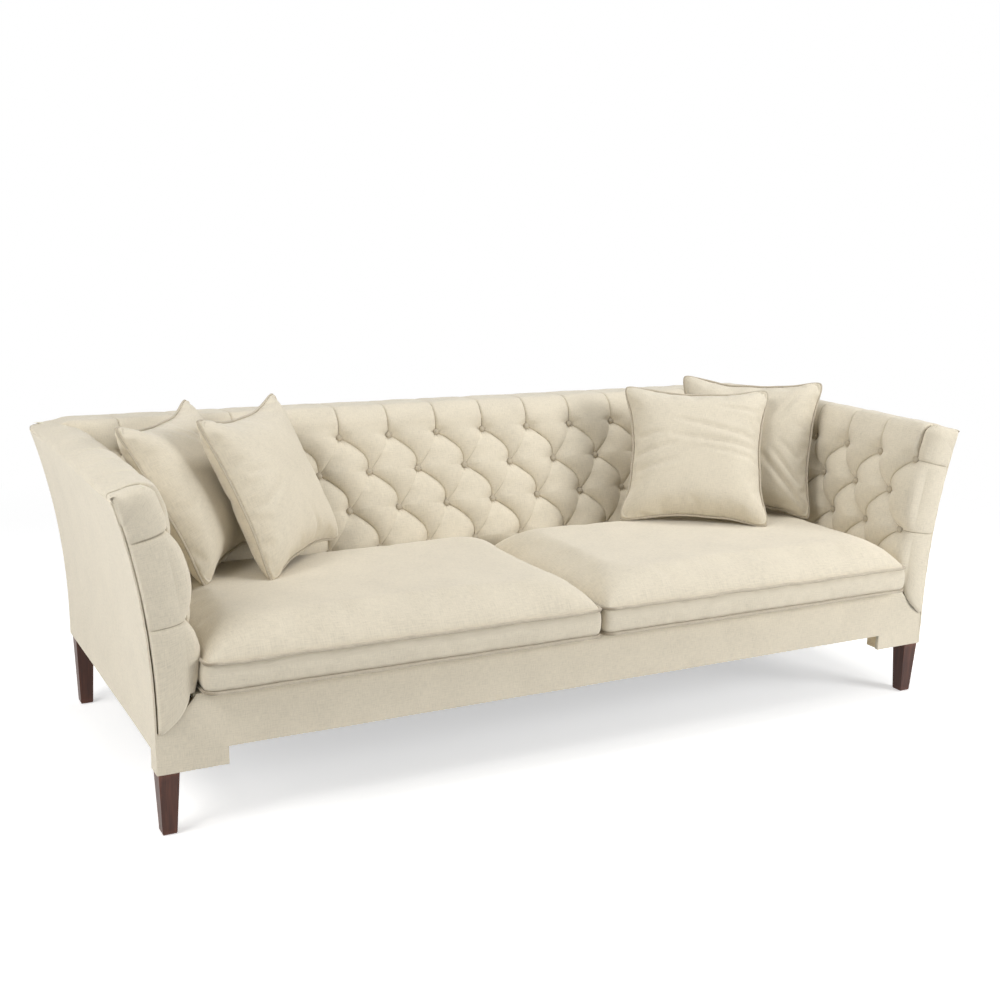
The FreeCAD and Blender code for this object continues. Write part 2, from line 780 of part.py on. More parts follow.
def build_leg_fixings():
    """Glides, hanger bolts and nuts of all legs."""
    glides = []
    bolts = []
    nuts = []
    for side in (-1, 1):
        for _, x, y, height in leg_places():
            foot = Vector(side * x, y, 0)
            glides.append(Part.makeCylinder(glide_diameter / 2, glide_height, foot))
            length = bolt_in_leg + bolt_in_frame
            start = Vector(side * x, y, height - bolt_in_leg)
            bolts.append(Part.makeCylinder(bolt_diameter / 2, length, start))
            nut = Part.makeCylinder(nut_diameter / 2, nut_height, Vector(side * x, y, height))
            bore = Part.makeCylinder(bolt_diameter / 2 + thread_gap, nut_height, Vector(side * x, y, height))
            nuts.append(nut.cut(bore))
    return glides, bolts, nuts


def bolt_sockets(shape):
    """The shape with sockets for the leg bolts and their nuts."""
    for side in (-1, 1):
        for _, x, y, height in leg_places():
            place = Vector(side * x, y, height)
            hole = Part.makeCylinder(bolt_diameter / 2 + thread_gap, bolt_in_frame + bolt_end_gap, place)
            nut = Part.makeCylinder(nut_diameter / 2 + thread_gap, nut_height, place)
            for tool in (hole, nut):
                if tool.BoundBox.intersect(shape.BoundBox):
                    shape = shape.cut(tool)
    return shape


# Seat springs, their clips and the deck
def build_springs():
    """Flat zigzag springs from the front rail to the spring rail, with a clip over each end."""
    spacing = (upright_positions[1] - upright_positions[0]) / springs_per_bay
    bays = len(upright_positions) - 1
    first_y = frame_front_y + timber / 2
    last_y = spring_rail_y0 + timber / 2
    step = (last_y - first_y) / (spring_loops - 1)
    z = rail_top + spring_wire / 2 + fit_gap
    edges = []
    side = spring_half_width - step / 2
    for index in range(spring_loops):
        way = 1 if index % 2 else -1
        y = first_y + step * index
        start = Vector(-way * side, y, z)
        end = Vector(way * side, y, z)
        edges.append(line(start, end))
        if index + 1 < spring_loops:
            edges.append(arc(end, Vector(way * (side + step / 2), y + step / 2, z), end + Vector(0, step, 0)))
    spring = round_cord(edges, spring_wire)
    wire_room = spring_wire + 2 * fit_gap
    clips = []
    springs = []
    for index in range(bays * springs_per_bay):
        x = upright_positions[0] + spacing * (index + 0.5)
        springs.append(spring.translated(Vector(x, 0, 0)))
        for y in (first_y, last_y):
            half = clip_width / 2
            hood = box(x - half, x + half, y - half, y + half, rail_top, rail_top + wire_room + clip_sheet)
            room = box(x - clip_width, x + clip_width, y - wire_room / 2, y + wire_room / 2, rail_top,
                       rail_top + wire_room)
            clips.append(hood.cut(room))
    return springs, clips


def build_deck():
    """The insulating pad over the springs and the cloth over it."""
    half = half_base - floor_in + quilt_foot
    y0 = frame_front_y
    y1 = floor_y(deck_height)
    bottom = rail_top + spring_wire + 3 * fit_gap + clip_sheet
    top = deck_height - deck_cloth
    return box(-half, half, y0, y1, bottom, top), box(-half, half, y0, y1, top, deck_height)


# Loose cushions
def boxed_loop(x0, x1, y0, y1, corner, swell, z):
    """A level outline with round corners; its sides are straight or swell outward."""
    edges = []
    turn = math.pi / 2
    left, right, front, back = x0 + corner, x1 - corner, y0 + corner, y1 - corner
    ends = []
    for index, (cx, cy) in enumerate([(right, front), (right, back), (left, back), (left, front)]):
        start = (index - 1) * turn
        angles = (start, start + turn / 2, start + turn)
        ends.append([Vector(cx + corner * math.cos(a), cy + corner * math.sin(a), z) for a in angles])
    for index, points in enumerate(ends):
        edges.append(arc(*points))
        onward = ends[(index + 1) % 4][0]
        outward = Vector(math.cos(index * turn), math.sin(index * turn), 0)
        edges.append(bulge(points[2], onward, outward, swell))
    return edges


def cushion_levels(shrink):
    """Levels of a seat cushion as (height, inset, corner radius, swell), bottom to crown."""
    seam_z = deck_height + seam_low
    top_z = seam_z + boxing_height
    levels = [(deck_height + shrink, seam_inset + seam_low + shrink, cushion_corner, 0.0),
              (seam_z, seam_inset + shrink, cushion_corner, 0.0),
              ((seam_z + top_z) / 2, boxing_inset + shrink, cushion_corner, 0.0),
              (top_z, seam_inset + shrink, cushion_corner, 0.0)]
    for index in range(1, crown_steps + 1):
        share = index / crown_steps
        inset = seam_inset + crown_run * share ** 1.6 + shrink
        height = top_z + (crown_height - shrink) * (1.0 - (1.0 - share) ** 2.4)
        corner = cushion_corner + crown_corner * inset
        levels.append((height - shrink * share, inset, corner, crown_swell * share))
    return levels


def cushion_box():
    """The outline of the right seat cushion, over its piping."""
    return (cushion_gap / 2, half_base - cushion_side_room, front_y - cushion_overhang, cushion_back_y)


def cushion_solid(shrink):
    """The right seat cushion's form, moved in by a depth."""
    x0, x1, y0, y1 = cushion_box()
    wires = []
    for z, inset, corner, swell in cushion_levels(shrink):
        wires.append(Part.Wire(boxed_loop(x0 + inset, x1 - inset, y0 + inset, y1 - inset, corner, swell, z)))
    return loft(wires)


def cushion_piping():
    """The two cords sewn round the right seat cushion's edges."""
    x0, x1, y0, y1 = cushion_box()
    inset = piping_diameter / 2
    cords = []
    for z in (deck_height + seam_low, deck_height + seam_low + boxing_height):
        edges = boxed_loop(x0 + inset, x1 - inset, y0 + inset, y1 - inset, cushion_corner, 0.0, z)
        cords.append(round_cord(edges, piping_diameter))
    return Part.makeCompound(cords)


def cushion_zip():
    """The zip tape on the right seat cushion's back boxing, and its pull."""
    x0, x1, _, y1 = cushion_box()
    middle = (x0 + x1) / 2
    half = (x1 - x0) / 2 - zip_end_room
    z = deck_height + seam_low + boxing_height / 2
    y = y1 - boxing_inset + fit_gap
    tape = box(middle - half, middle + half, y, y + zip_thickness, z - zip_width / 2, z + zip_width / 2)
    outer = y + zip_thickness + fit_gap
    start = middle - half + zip_slider
    slider = box(start - zip_slider / 2, start + zip_slider / 2, outer, outer + zip_slider_height,
                 z - zip_slider / 2, z + zip_slider / 2)
    tab_top = outer + zip_slider_height
    tab = box(start - zip_slider / 4, start + zip_slider / 4, tab_top - zip_thickness, tab_top,
              z - zip_slider / 2 - zip_pull_length, z)
    return tape, slider.fuse(tab).removeSplitter()


def pillow_loop(half, draw, corner, level):
    """A square outline with drawn-in sides and round corners that are tangent to them."""
    radius = (half ** 2 + draw ** 2) / (2 * draw)
    centre = half - draw + radius
    reach = radius + corner
    middle = (centre - math.sqrt(2 * reach ** 2 - centre ** 2)) / 2
    touch_x = radius * middle / reach
    touch_z = centre + radius * (middle - centre) / reach
    tip = middle + corner / math.sqrt(2.0)
    side = [(-touch_x, touch_z), (0.0, half - draw), (touch_x, touch_z), (tip, tip), (touch_z, touch_x)]
    edges = []
    for index in range(4):
        angle = -index * math.pi / 2
        c = math.cos(angle)
        s = math.sin(angle)
        turned = [Vector(x * c - z * s, level, x * s + z * c) for x, z in side]
        edges.append(arc(turned[0], turned[1], turned[2]))
        edges.append(arc(turned[2], turned[3], turned[4]))
    return edges


def pillow_solid(shrink):
    """A scatter cushion's form about its own middle, moved in by a depth."""
    half = pillow_size / 2
    seam_room = pillow_piping + fit_gap
    levels = []
    for index in range(pillow_steps + 1):
        share = index / pillow_steps
        thickness = pillow_edge + (pillow_half_thickness - pillow_edge) * (1.0 - (1.0 - share) ** 2.3)
        inset = seam_room + (half * pillow_run) * share ** 1.35
        draw = 1.0 + (pillow_draw - 1.0) * (1.0 - share) ** 1.5
        corner = pillow_corner + pillow_round * (inset - seam_room)
        levels.append((thickness - shrink, half - inset - shrink * 1.5, draw, corner))
    if shrink > 0:
        levels = levels[1:]
    wires = []
    for side in (-1, 1):
        ordered = levels if side > 0 else levels[::-1]
        for thickness, reach, draw, corner in ordered:
            wires.append(Part.Wire(pillow_loop(reach, draw, corner, side * thickness)))
    return loft(wires)


def pillow_cord():
    """The piping sewn round a scatter cushion's edge."""
    inset = pillow_piping / 2
    edges = pillow_loop(pillow_size / 2 - inset, pillow_draw, pillow_corner + inset, 0.0)
    return round_cord(edges, pillow_piping)


def posed(shape, place):
    """A shape leaned back, turned about the upright axis and moved to its place."""
    x, y, z, turn, lean = place
    moved = shape.copy()
    moved.rotate(Vector(0, 0, 0), Vector(1, 0, 0), -lean)
    moved.rotate(Vector(0, 0, 0), Vector(0, 0, 1), turn)
    moved.translate(Vector(x, y, z))
    return moved


def pillow_places():
    """Middle, turn and lean of each scatter cushion, before it settles."""
    arm_x = min(base_width, top_width) / 2 - floor_in
    back_y = floor_y(back_rows[-1])
    places = {}
    for name, (arm_room, back_room, turn, lean) in pillow_stands.items():
        side = 1 if name.endswith("right") else -1
        places[name] = (side * (arm_x - arm_room), back_y - back_room, 0.0, turn, lean)
    return places


def rest_height(outline, place, support):
    """How far up a leaned shape's middle lies when it rests on its support."""
    x, y, _, turn, lean = place
    z = deck_height + boxing_height + crown_height + pillow_size / 2
    shape = posed(outline, (x, y, z, turn, lean))
    for _ in range(settle_steps):
        gap = shape.distToShape(support)[0]
        if gap < fit_gap * 1.5:
            break
        drop = (gap - fit_gap) * 0.98
        shape.translate(Vector(0, 0, -drop))
        z -= drop
    return z


def main():
    """Write every sub-part."""
    os.makedirs("parts", exist_ok=True)

    braces, screws = build_braces()
    front, back, side, spring_rail, cross = build_seat_box()
    save("front_rail", screw_holes(front, screws))
    save("back_rail", screw_holes(back, screws))
    save("side_rails", Part.makeCompound([side, mirror_x(side)]))
    save("spring_rail", spring_rail)
    save("cross_rails", cross)
    save("corner_braces", Part.makeCompound([screw_holes(brace, screws) for brace in braces]))
    save("frame_screws", Part.makeCompound(screws))

    block = box(half_base - drop_width + skin, half_base - skin, frame_front_y, front_y + drop_depth,
                front_leg_height, rail_bottom)
    block = bolt_sockets(block)
    save("drop_blocks", Part.makeCompound([block, mirror_x(block)]))

    front_post, rear_post, top_rail, tack_rail, arm_straps = build_arm_frame()
    save_pair("arm_front_post", front_post)
    rear_post = bolt_sockets(rear_post)
    save("arm_rear_posts", Part.makeCompound([rear_post, mirror_x(rear_post)]))
    save_pair("arm_top_rail", top_rail)
    save("arm_tack_rails", Part.makeCompound([tack_rail, mirror_x(tack_rail)]))
    save("arm_webbing", Part.makeCompound(arm_straps + [mirror_x(strap) for strap in arm_straps]))

    uprights, back_top_rail, back_straps = build_back_frame()
    save("back_uprights", Part.makeCompound(uprights))
    save("back_top_rail", back_top_rail)
    save("back_webbing", Part.makeCompound(back_straps))

    springs, clips = build_springs()
    save("seat_springs", Part.makeCompound(springs))
    save("spring_clips", Part.makeCompound(clips))
    deck_pad, deck_cover = build_deck()
    save("deck_pad", deck_pad)
    save("deck_cover", deck_cover)

    back_quilt, back_foam = build_back_pad()
    save("back_tufted_cover", back_quilt)
    save("back_foam", back_foam)
    save("back_buttons", build_back_buttons())
    arm_quilt, arm_foam = build_arm_pad()
    save_pair("arm_tufted_cover", arm_quilt)
    save("arm_foam", Part.makeCompound([arm_foam, mirror_x(arm_foam)]))
    save_pair("arm_buttons", build_arm_buttons())

    arm_panel, back_panel, border, dust = build_outer_panels()
    save_pair("outside_arm_panel", arm_panel)
    save("outside_back_panel", back_panel)
    save("front_border", border)
    save("dust_cover", dust)

    for name, x, y, height in leg_places():
        save_pair(name, build_leg(x, y, height))
    glides, bolts, nuts = build_leg_fixings()
    save("leg_glides", Part.makeCompound(glides))
    save("leg_bolts", Part.makeCompound(bolts))
    save("leg_nuts", Part.makeCompound(nuts))

    form = cushion_solid(0.0)
    save_pair("seat_cushion_cover", form.cut(cushion_solid(cushion_cloth)))
    save_pair("seat_cushion_foam", cushion_solid(cushion_cloth + fit_gap))
    save_pair("seat_cushion_piping", cushion_piping())
    tape, pull = cushion_zip()
    save_pair("seat_cushion_zip", tape)
    save_pair("seat_zip_pull", pull)

    pillow = pillow_solid(0.0)
    pillow_cover = pillow.cut(pillow_solid(pillow_cloth))
    pillow_insert = pillow_solid(pillow_cloth + fit_gap)
    cord = pillow_cord()
    for name, place in pillow_places().items():
        support = form if place[0] > 0 else mirror_x(form)
        z = rest_height(cord, place, support)
        settled = (place[0], place[1], z, place[3], place[4])
        save(name + "_cover", Part.makeCompound([posed(pillow_cover, settled), posed(cord, settled)]))
        save(name + "_insert", posed(pillow_insert, settled))


main()
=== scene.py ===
import json
import math
import random

import bpy
import bmesh
import numpy as np
from mathutils import Matrix, Vector


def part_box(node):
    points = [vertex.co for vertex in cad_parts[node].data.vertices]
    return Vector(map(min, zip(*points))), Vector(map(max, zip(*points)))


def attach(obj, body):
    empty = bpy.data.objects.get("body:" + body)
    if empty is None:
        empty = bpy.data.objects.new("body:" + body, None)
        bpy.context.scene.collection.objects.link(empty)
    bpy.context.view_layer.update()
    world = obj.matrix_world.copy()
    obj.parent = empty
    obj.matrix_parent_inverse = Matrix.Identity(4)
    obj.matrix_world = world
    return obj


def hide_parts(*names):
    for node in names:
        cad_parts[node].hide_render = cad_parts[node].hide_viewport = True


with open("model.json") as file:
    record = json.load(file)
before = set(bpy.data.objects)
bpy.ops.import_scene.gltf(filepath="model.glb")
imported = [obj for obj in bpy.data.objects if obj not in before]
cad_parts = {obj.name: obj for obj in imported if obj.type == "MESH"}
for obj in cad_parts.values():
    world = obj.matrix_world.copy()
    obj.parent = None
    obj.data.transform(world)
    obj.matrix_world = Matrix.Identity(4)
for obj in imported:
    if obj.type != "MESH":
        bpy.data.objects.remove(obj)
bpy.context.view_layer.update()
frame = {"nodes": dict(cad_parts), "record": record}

# The form, from the boxes of the model's nodes
border_low, border_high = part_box("front_border")
arm_panel_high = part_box("outside_arm_panel_right")[1]
back_panel_low, back_panel_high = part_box("outside_back_panel")
half_base = border_high[0]
front_y = border_low[1]
deck_z = border_high[2]
arm_height = arm_panel_high[2]
rear_top_y = back_panel_high[1]
rear_base_y = back_panel_low[1] + 0.005
side_foot_z = back_panel_low[2]
flare = arm_panel_high[0] - half_base
flare_start = 0.250
flare_rise = arm_height - flare_start
arm_radius = (flare_rise ** 2 + flare ** 2) / (2 * flare)
arm_centre_x = half_base + arm_radius
half_top = half_base + flare
top_angle = math.asin(flare_rise / arm_radius)
back_top_z = back_panel_high[2]
back_crest = 0.795
rear_slope_top_z = 0.799
rear_slope = (rear_top_y - rear_base_y) / (rear_slope_top_z - side_foot_z)

# Tufting: rows of buttons, pitches, depth of the floor and height of the swells
back_pitch = 0.1528
back_foot_z = 0.328
back_row_gap = 0.104
back_rows = np.array((0.418, 0.522, 0.622, 0.720))
arm_pitch = 0.1415
arm_foot_z = 0.326
arm_row_gap = 0.102
arm_rows = np.array((0.391, 0.493, 0.595, 0.695))
arm_first_column = front_y + 0.037
floor_depth = 0.092
tuft_rise = 0.029
back_floor_y = rear_top_y - 0.275
back_rake = 0.40
crown_reach = 0.045
rear_turn = 0.007
front_pad = 0.006
rake_length = math.hypot(1.0, back_rake)
mitre_x = half_top - 0.008
mitre_y = rear_top_y - 0.008
mitre_foot_y = back_floor_y + back_rake * (deck_z - back_rows[0])
mitre_slope = (mitre_y - mitre_foot_y) / (mitre_x - (half_base - floor_depth - tuft_rise))
roll_start = 0.754
fold_bow = {"back": (0.030, 0.004), "arm": (0.026, 0.006)}
fold_share = {"back": (0.36, 0.86), "arm": (0.36, 0.78)}
dent_share = {"back": (0.56, 0.00), "arm": (0.56, 0.08)}
# Full shares of the swells by row value and by how far past the top row
back_fullness = (((-0.85, -0.5, 0.0), (0.4, 0.8, 1.0)),
                 ((0.0, 0.037, 0.070, 0.100, 0.170), (1.0, 0.86, 0.55, 0.30, 0.14)))
arm_fullness = (((-0.65, -0.3, 0.3), (0.3, 0.6, 1.0)),
                ((0.0, 0.040, 0.085, 0.115, 0.17, 0.20), (1.0, 0.88, 0.55, 0.24, 0.08, 0.0)))
# Arch of a swell from its left to its right edge, at its foot and at its top, and past the top row
left_powers, right_powers, top_power = (0.36, 1.05), (1.00, 0.88), 0.30
full_heights = (1.03, 0.97)
narrow_power = 0.65
climb_fade = 0.035
top_pleat, top_dent = 0.62, 0.12
lip_reach = (0.0075, 0.0065)
lip_shift = (0.0048, 0.0004)
lip_drop = 0.0038
last_row = 3.0
row_steps, column_steps = 24, 14
corner_room = 0.085
corner_tuck = 0.006
gather_depth = 0.0018
button_lift = 0.0020
button_hollow = 0.0150
button_room = 0.028
pucker_depth = 0.0006

# Sides as signs of x with their words, and the fineness of the forms
both_sides = ((1, "right"), (-1, "left"))
ripple_waves = 7
merge_distance = 0.00004

# Colours as linear values
linen_colour = (0.695, 0.628, 0.500)
# Painted shade: the buttons are the same linen, coloured darker to stand in for the shade of their sunken
# dimples
shaded_button_colour = (0.490, 0.430, 0.330)
cord_colour = (0.715, 0.652, 0.530)
walnut_dark = (0.040, 0.013, 0.008)
walnut_light = (0.105, 0.037, 0.022)
# Painted shade: the dark colour that the cloth takes in its folds and creases
painted_fold_shade = (0.28, 0.22, 0.15)
white = (1.0, 1.0, 1.0)


def smooth(low, high, value):
    """A soft step from 0 at low to 1 at high."""
    share = np.clip((value - low) / (high - low), 0.0, 1.0)
    return share * share * (3.0 - 2.0 * share)


def mix(a, b, share):
    """From a to b."""
    return a + (b - a) * share


def ripple(x, z, seed, length):
    """A soft uneven wave over a surface, about -1 to 1, with waves of about a length."""
    draw = random.Random(seed)
    total = 0.0
    for _ in range(ripple_waves):
        way = draw.uniform(0.0, math.pi)
        wave = 2 * math.pi / (length * draw.uniform(0.7, 1.6))
        phase = draw.uniform(0.0, 2 * math.pi)
        total = total + np.sin(wave * (x * math.cos(way) + z * math.sin(way)) + phase)
    return total / math.sqrt(ripple_waves * 2.0)


def stack(*parts):
    """Arrays of one value each, joined to an array of points."""
    return np.stack(parts, axis=-1)


def chain(*stretches):
    """Steps joined from single values and from (start, end, count) stretches."""
    return np.concatenate([np.linspace(*part) if isinstance(part, tuple) else [part] for part in stretches])


def run_along(steps):
    """The length run at each point, from the steps between the points."""
    return np.concatenate([[0.0], np.cumsum(steps)])


def spread(column, like):
    """One value per row, carried on over all the columns of another array."""
    return column[:, None] + 0 * like


def new_object(name, vertices, faces, uv=None, material=None, smooth_faces=True):
    """A mesh object from arrays; uv is one pair per vertex."""
    mesh = bpy.data.meshes.new(name)
    mesh.from_pydata([tuple(v) for v in vertices], [], [tuple(f) for f in faces])
    if uv is not None:
        layer = mesh.uv_layers.new(name="cloth")
        loops = np.zeros(len(mesh.loops), dtype=np.int32)
        mesh.loops.foreach_get("vertex_index", loops)
        layer.data.foreach_set("uv", np.asarray(uv, dtype=np.float32)[loops].ravel())
    mesh.polygons.foreach_set("use_smooth", [smooth_faces] * len(mesh.polygons))
    thing = bpy.data.objects.new(name, mesh)
    bpy.context.scene.collection.objects.link(thing)
    if material:
        mesh.materials.append(material)
    return thing


def grid_faces(rows, columns, flip=False):
    """Faces of a grid of vertices, row after row."""
    index = np.arange(rows * columns).reshape(rows, columns)
    corners = (index[:-1, :-1], index[:-1, 1:], index[1:, 1:], index[1:, :-1])
    faces = np.stack([c.ravel() for c in corners], axis=1)
    return faces[:, ::-1] if flip else faces


def coordinates(piece):
    """The piece's vertices as an array of points."""
    flat = np.empty(len(piece.data.vertices) * 3)
    piece.data.vertices.foreach_get("co", flat)
    return flat.reshape(-1, 3)


def set_coordinates(piece, points):
    """Moves the piece's vertices to an array of points."""
    piece.data.vertices.foreach_set("co", points.ravel())


def edit_mesh(piece, change):
    """Runs one change on the piece's mesh."""
    work = bmesh.new()
    work.from_mesh(piece.data)
    change(work)
    work.to_mesh(piece.data)
    work.free()


def merge_doubles(work):
    """Joins the vertices that lie on one another and drops the faces that shrank to nothing."""
    bmesh.ops.remove_doubles(work, verts=work.verts, dist=merge_distance)
    bmesh.ops.dissolve_degenerate(work, edges=work.edges, dist=merge_distance / 4)


def drop_loose(work):
    """Deletes the vertices that no face uses."""
    bmesh.ops.delete(work, geom=[v for v in work.verts if not v.link_faces], context="VERTS")


def round_edges(piece, width, segments, degrees):
    """Adds a bevel to the edges sharper than an angle."""
    soft = piece.modifiers.new("edges", "BEVEL")
    soft.width = width
    soft.segments = segments
    soft.limit_method = "ANGLE"
    soft.angle_limit = math.radians(degrees)


def apply_modifiers(piece):
    """Replaces the mesh by what its modifiers give."""
    graph = bpy.context.evaluated_depsgraph_get()
    graph.update()
    seen = piece.evaluated_get(graph)
    made = bpy.data.meshes.new_from_object(seen, preserve_all_data_layers=True, depsgraph=graph)
    piece.modifiers.clear()
    piece.data = made


def claim(piece, body, slot, *nodes):
    """The piece rides on a body and stands for nodes of the model, which it hides; slot is not used."""
    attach(piece, body)
    if nodes:
        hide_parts(*nodes)


# Materials
class Nodes:
    """Short calls to build the nodes of a material or of the world."""

    def __init__(self, owner, output="ShaderNodeOutputMaterial"):
        self.owner = owner
        owner.use_nodes = True
        self.tree = owner.node_tree
        self.tree.nodes.clear()
        self.output = self.add(output)

    def add(self, kind, **inputs):
        """A node with its sockets set or linked; names with _ stand for spaces."""
        node = self.tree.nodes.new(kind)
        for key, value in inputs.items():
            self.put(node.inputs[key.replace("_", " ")], value)
        return node

    def put(self, socket, value):
        """Links a socket or sets its value."""
        if isinstance(value, bpy.types.NodeSocket):
            self.tree.links.new(value, socket)
        else:
            socket.default_value = value

    def join(self, node, *values):
        """Sets or links the node's first sockets in order and returns its first output."""
        for socket, value in zip(node.inputs, values):
            self.put(socket, value)
        return node.outputs[0]

    def maths(self, operation, *values):
        """The result of one sum."""
        node = self.add("ShaderNodeMath")
        node.operation = operation
        return self.join(node, *values)

    def plus(self, a, a_share, b, b_share=1.0):
        """Two values added in their shares."""
        if b_share != 1.0:
            b = self.maths("MULTIPLY", b, b_share)
        return self.maths("ADD", self.maths("MULTIPLY", a, a_share), b)

    def place(self):
        """The object's own coordinates."""
        return self.add("ShaderNodeTexCoord").outputs["Object"]

    def pointiness(self):
        """How far the mesh bulges or folds in."""
        return self.add("ShaderNodeNewGeometry").outputs["Pointiness"]

    def noise(self, vector, scale, detail=2.0, roughness=0.5):
        """Soft noise between 0 and 1."""
        node = self.add("ShaderNodeTexNoise", Vector=vector, Scale=scale, Detail=detail, Roughness=roughness)
        return node.outputs["Fac"]

    def stretched(self, vector, scale):
        """Coordinates scaled apart along each way."""
        node = self.add("ShaderNodeMapping", Vector=vector, Scale=scale)
        return node.outputs[0]

    def ramp(self, value, stops):
        """Colours along a value."""
        node = self.add("ShaderNodeValToRGB", Fac=value)
        marks = node.color_ramp.elements
        while len(marks) < len(stops):
            marks.new(1.0)
        for mark, (place, colour) in zip(marks, stops):
            mark.position = place
            mark.color = (*colour, 1.0)
        return node.outputs[0]

    def times(self, colour, other):
        """Two colours multiplied."""
        node = self.add("ShaderNodeVectorMath")
        node.operation = "MULTIPLY"
        return self.join(node, colour, other)

    def bump(self, height, distance):
        """A bumped normal."""
        return self.add("ShaderNodeBump", Height=height, Distance=distance, Strength=1.0).outputs[0]

    def surface(self, colour, roughness, normal, **constants):
        """The shader, with its constant sockets set on itself."""
        shader = self.add("ShaderNodeBsdfPrincipled", Base_Color=colour, Roughness=roughness, Normal=normal)
        for key, value in constants.items():
            shader.inputs[key.replace("_", " ")].default_value = value
        self.to_output(shader.outputs[0])
        return self.owner

    def to_output(self, shader):
        """Links the shader to the output."""
        self.put(self.output.inputs[0], shader)


def shade(colour, factor):
    """A colour made lighter or darker."""
    return tuple(min(c * factor, 1.0) for c in colour)


def cloth_material(name, colour, thread=0.0011, relief=0.0003, on_uv=True, sheen=0.25):
    """Plain woven cloth with slubs, uneven yarn and a soft fuzz, and painted shade that darkens its folds."""
    n = Nodes(bpy.data.materials.new(name))
    if on_uv:
        source = n.add("ShaderNodeUVMap")
        source.uv_map = "cloth"
        place = source.outputs[0]
    else:
        place = n.place()
    parts = n.add("ShaderNodeSeparateXYZ", Vector=place)
    wave = math.pi / thread
    warp = n.maths("SINE", n.maths("MULTIPLY", parts.outputs[0], wave))
    weft = n.maths("SINE", n.maths("MULTIPLY", parts.outputs[1], wave))
    if not on_uv:
        third = n.maths("SINE", n.maths("MULTIPLY", parts.outputs[2], wave))
        weft = n.maths("MULTIPLY", weft, third)
    weave = n.maths("MULTIPLY", warp, weft)
    slub_a = n.noise(n.stretched(place, (45.0, 520.0, 520.0)), 1.0, 3.0, 0.6)
    slub_b = n.noise(n.stretched(place, (520.0, 55.0, 520.0)), 1.0, 3.0, 0.6)
    slubs = n.plus(slub_a, 0.5, slub_b, 0.5)
    cloud = n.noise(place, 9.0, 3.0, 0.55)
    tone = n.plus(slubs, 0.8, cloud, 0.2)
    surface_colour = n.ramp(tone, ((0.30, shade(colour, 0.80)), (0.50, colour), (0.70, shade(colour, 1.14))))
    # Painted shade: the colour darkens where the mesh folds in, standing in for the shade in creases and
    # round the buttons
    surface_colour = n.times(surface_colour, n.ramp(n.pointiness(), ((0.41, painted_fold_shade), (0.488, white))))
    rough = n.plus(slubs, 0.2, 0.78)
    normal = n.bump(n.plus(weave, 0.28, slubs, 1.6), relief)
    return n.surface(surface_colour, rough, normal, Sheen_Weight=sheen, Sheen_Roughness=0.55, Specular_IOR_Level=0.18)


def wood_material(name, dark, light, grain_axis, gloss, coat):
    """Straight-grained timber with pores; the grain runs along one axis."""
    n = Nodes(bpy.data.materials.new(name))
    place = n.place()

    def along_grain(across, along):
        """Coordinates stretched along the grain."""
        return n.stretched(place, tuple(along if axis == grain_axis else across for axis in range(3)))

    grain = n.noise(along_grain(55.0, 3.0), 1.0, 6.0, 0.62)
    pores = n.noise(along_grain(420.0, 12.0), 1.0, 3.0, 0.5)
    wear = n.maths("MULTIPLY", n.maths("SUBTRACT", n.pointiness(), 0.52), 3.0)
    tone = n.maths("ADD", n.plus(grain, 0.75, pores, 0.25), wear)
    surface_colour = n.ramp(tone, ((0.32, dark), (0.62, light), (0.85, shade(light, 1.5))))
    rough = n.plus(pores, 0.22, gloss)
    normal = n.bump(n.plus(grain, 0.5, pores), 0.00015)
    return n.surface(surface_colour, rough, normal, Coat_Weight=coat, Coat_Roughness=0.30, Specular_IOR_Level=0.35)


def metal_material(name, colour, roughness):
    """Drawn or plated steel with faint streaks and dull spots."""
    n = Nodes(bpy.data.materials.new(name))
    place = n.place()
    streak = n.noise(n.stretched(place, (900.0, 60.0, 900.0)), 1.0, 2.0)
    spots = n.noise(place, 130.0, 4.0, 0.7)
    surface_colour = n.ramp(spots, ((0.3, shade(colour, 0.72)), (0.7, colour)))
    rough = n.plus(streak, 0.25, roughness)
    return n.surface(surface_colour, rough, n.bump(streak, 0.00004), Metallic=1.0)


def foam_material(name, colour):
    """Open foam with small pores."""
    n = Nodes(bpy.data.materials.new(name))
    place = n.place()
    pores = n.add("ShaderNodeTexVoronoi", Vector=place, Scale=520.0).outputs["Distance"]
    cloud = n.noise(place, 14.0, 3.0)
    surface_colour = n.ramp(n.plus(pores, 0.6, cloud, 0.5), ((0.15, shade(colour, 0.7)), (0.6, colour)))
    return n.surface(surface_colour, 0.9, n.bump(pores, 0.0006), Specular_IOR_Level=0.2)


def plastic_material(name, colour):
    """Moulded nylon with a fine scuffed grain."""
    n = Nodes(bpy.data.materials.new(name))
    place = n.place()
    grain = n.noise(place, 900.0, 3.0)
    scuff = n.noise(place, 90.0, 4.0, 0.7)
    surface_colour = n.ramp(scuff, ((0.35, colour), (0.75, shade(colour, 1.8))))
    return n.surface(surface_colour, n.plus(scuff, 0.3, 0.4), n.bump(grain, 0.00008))


linen = cloth_material("linen", linen_colour)
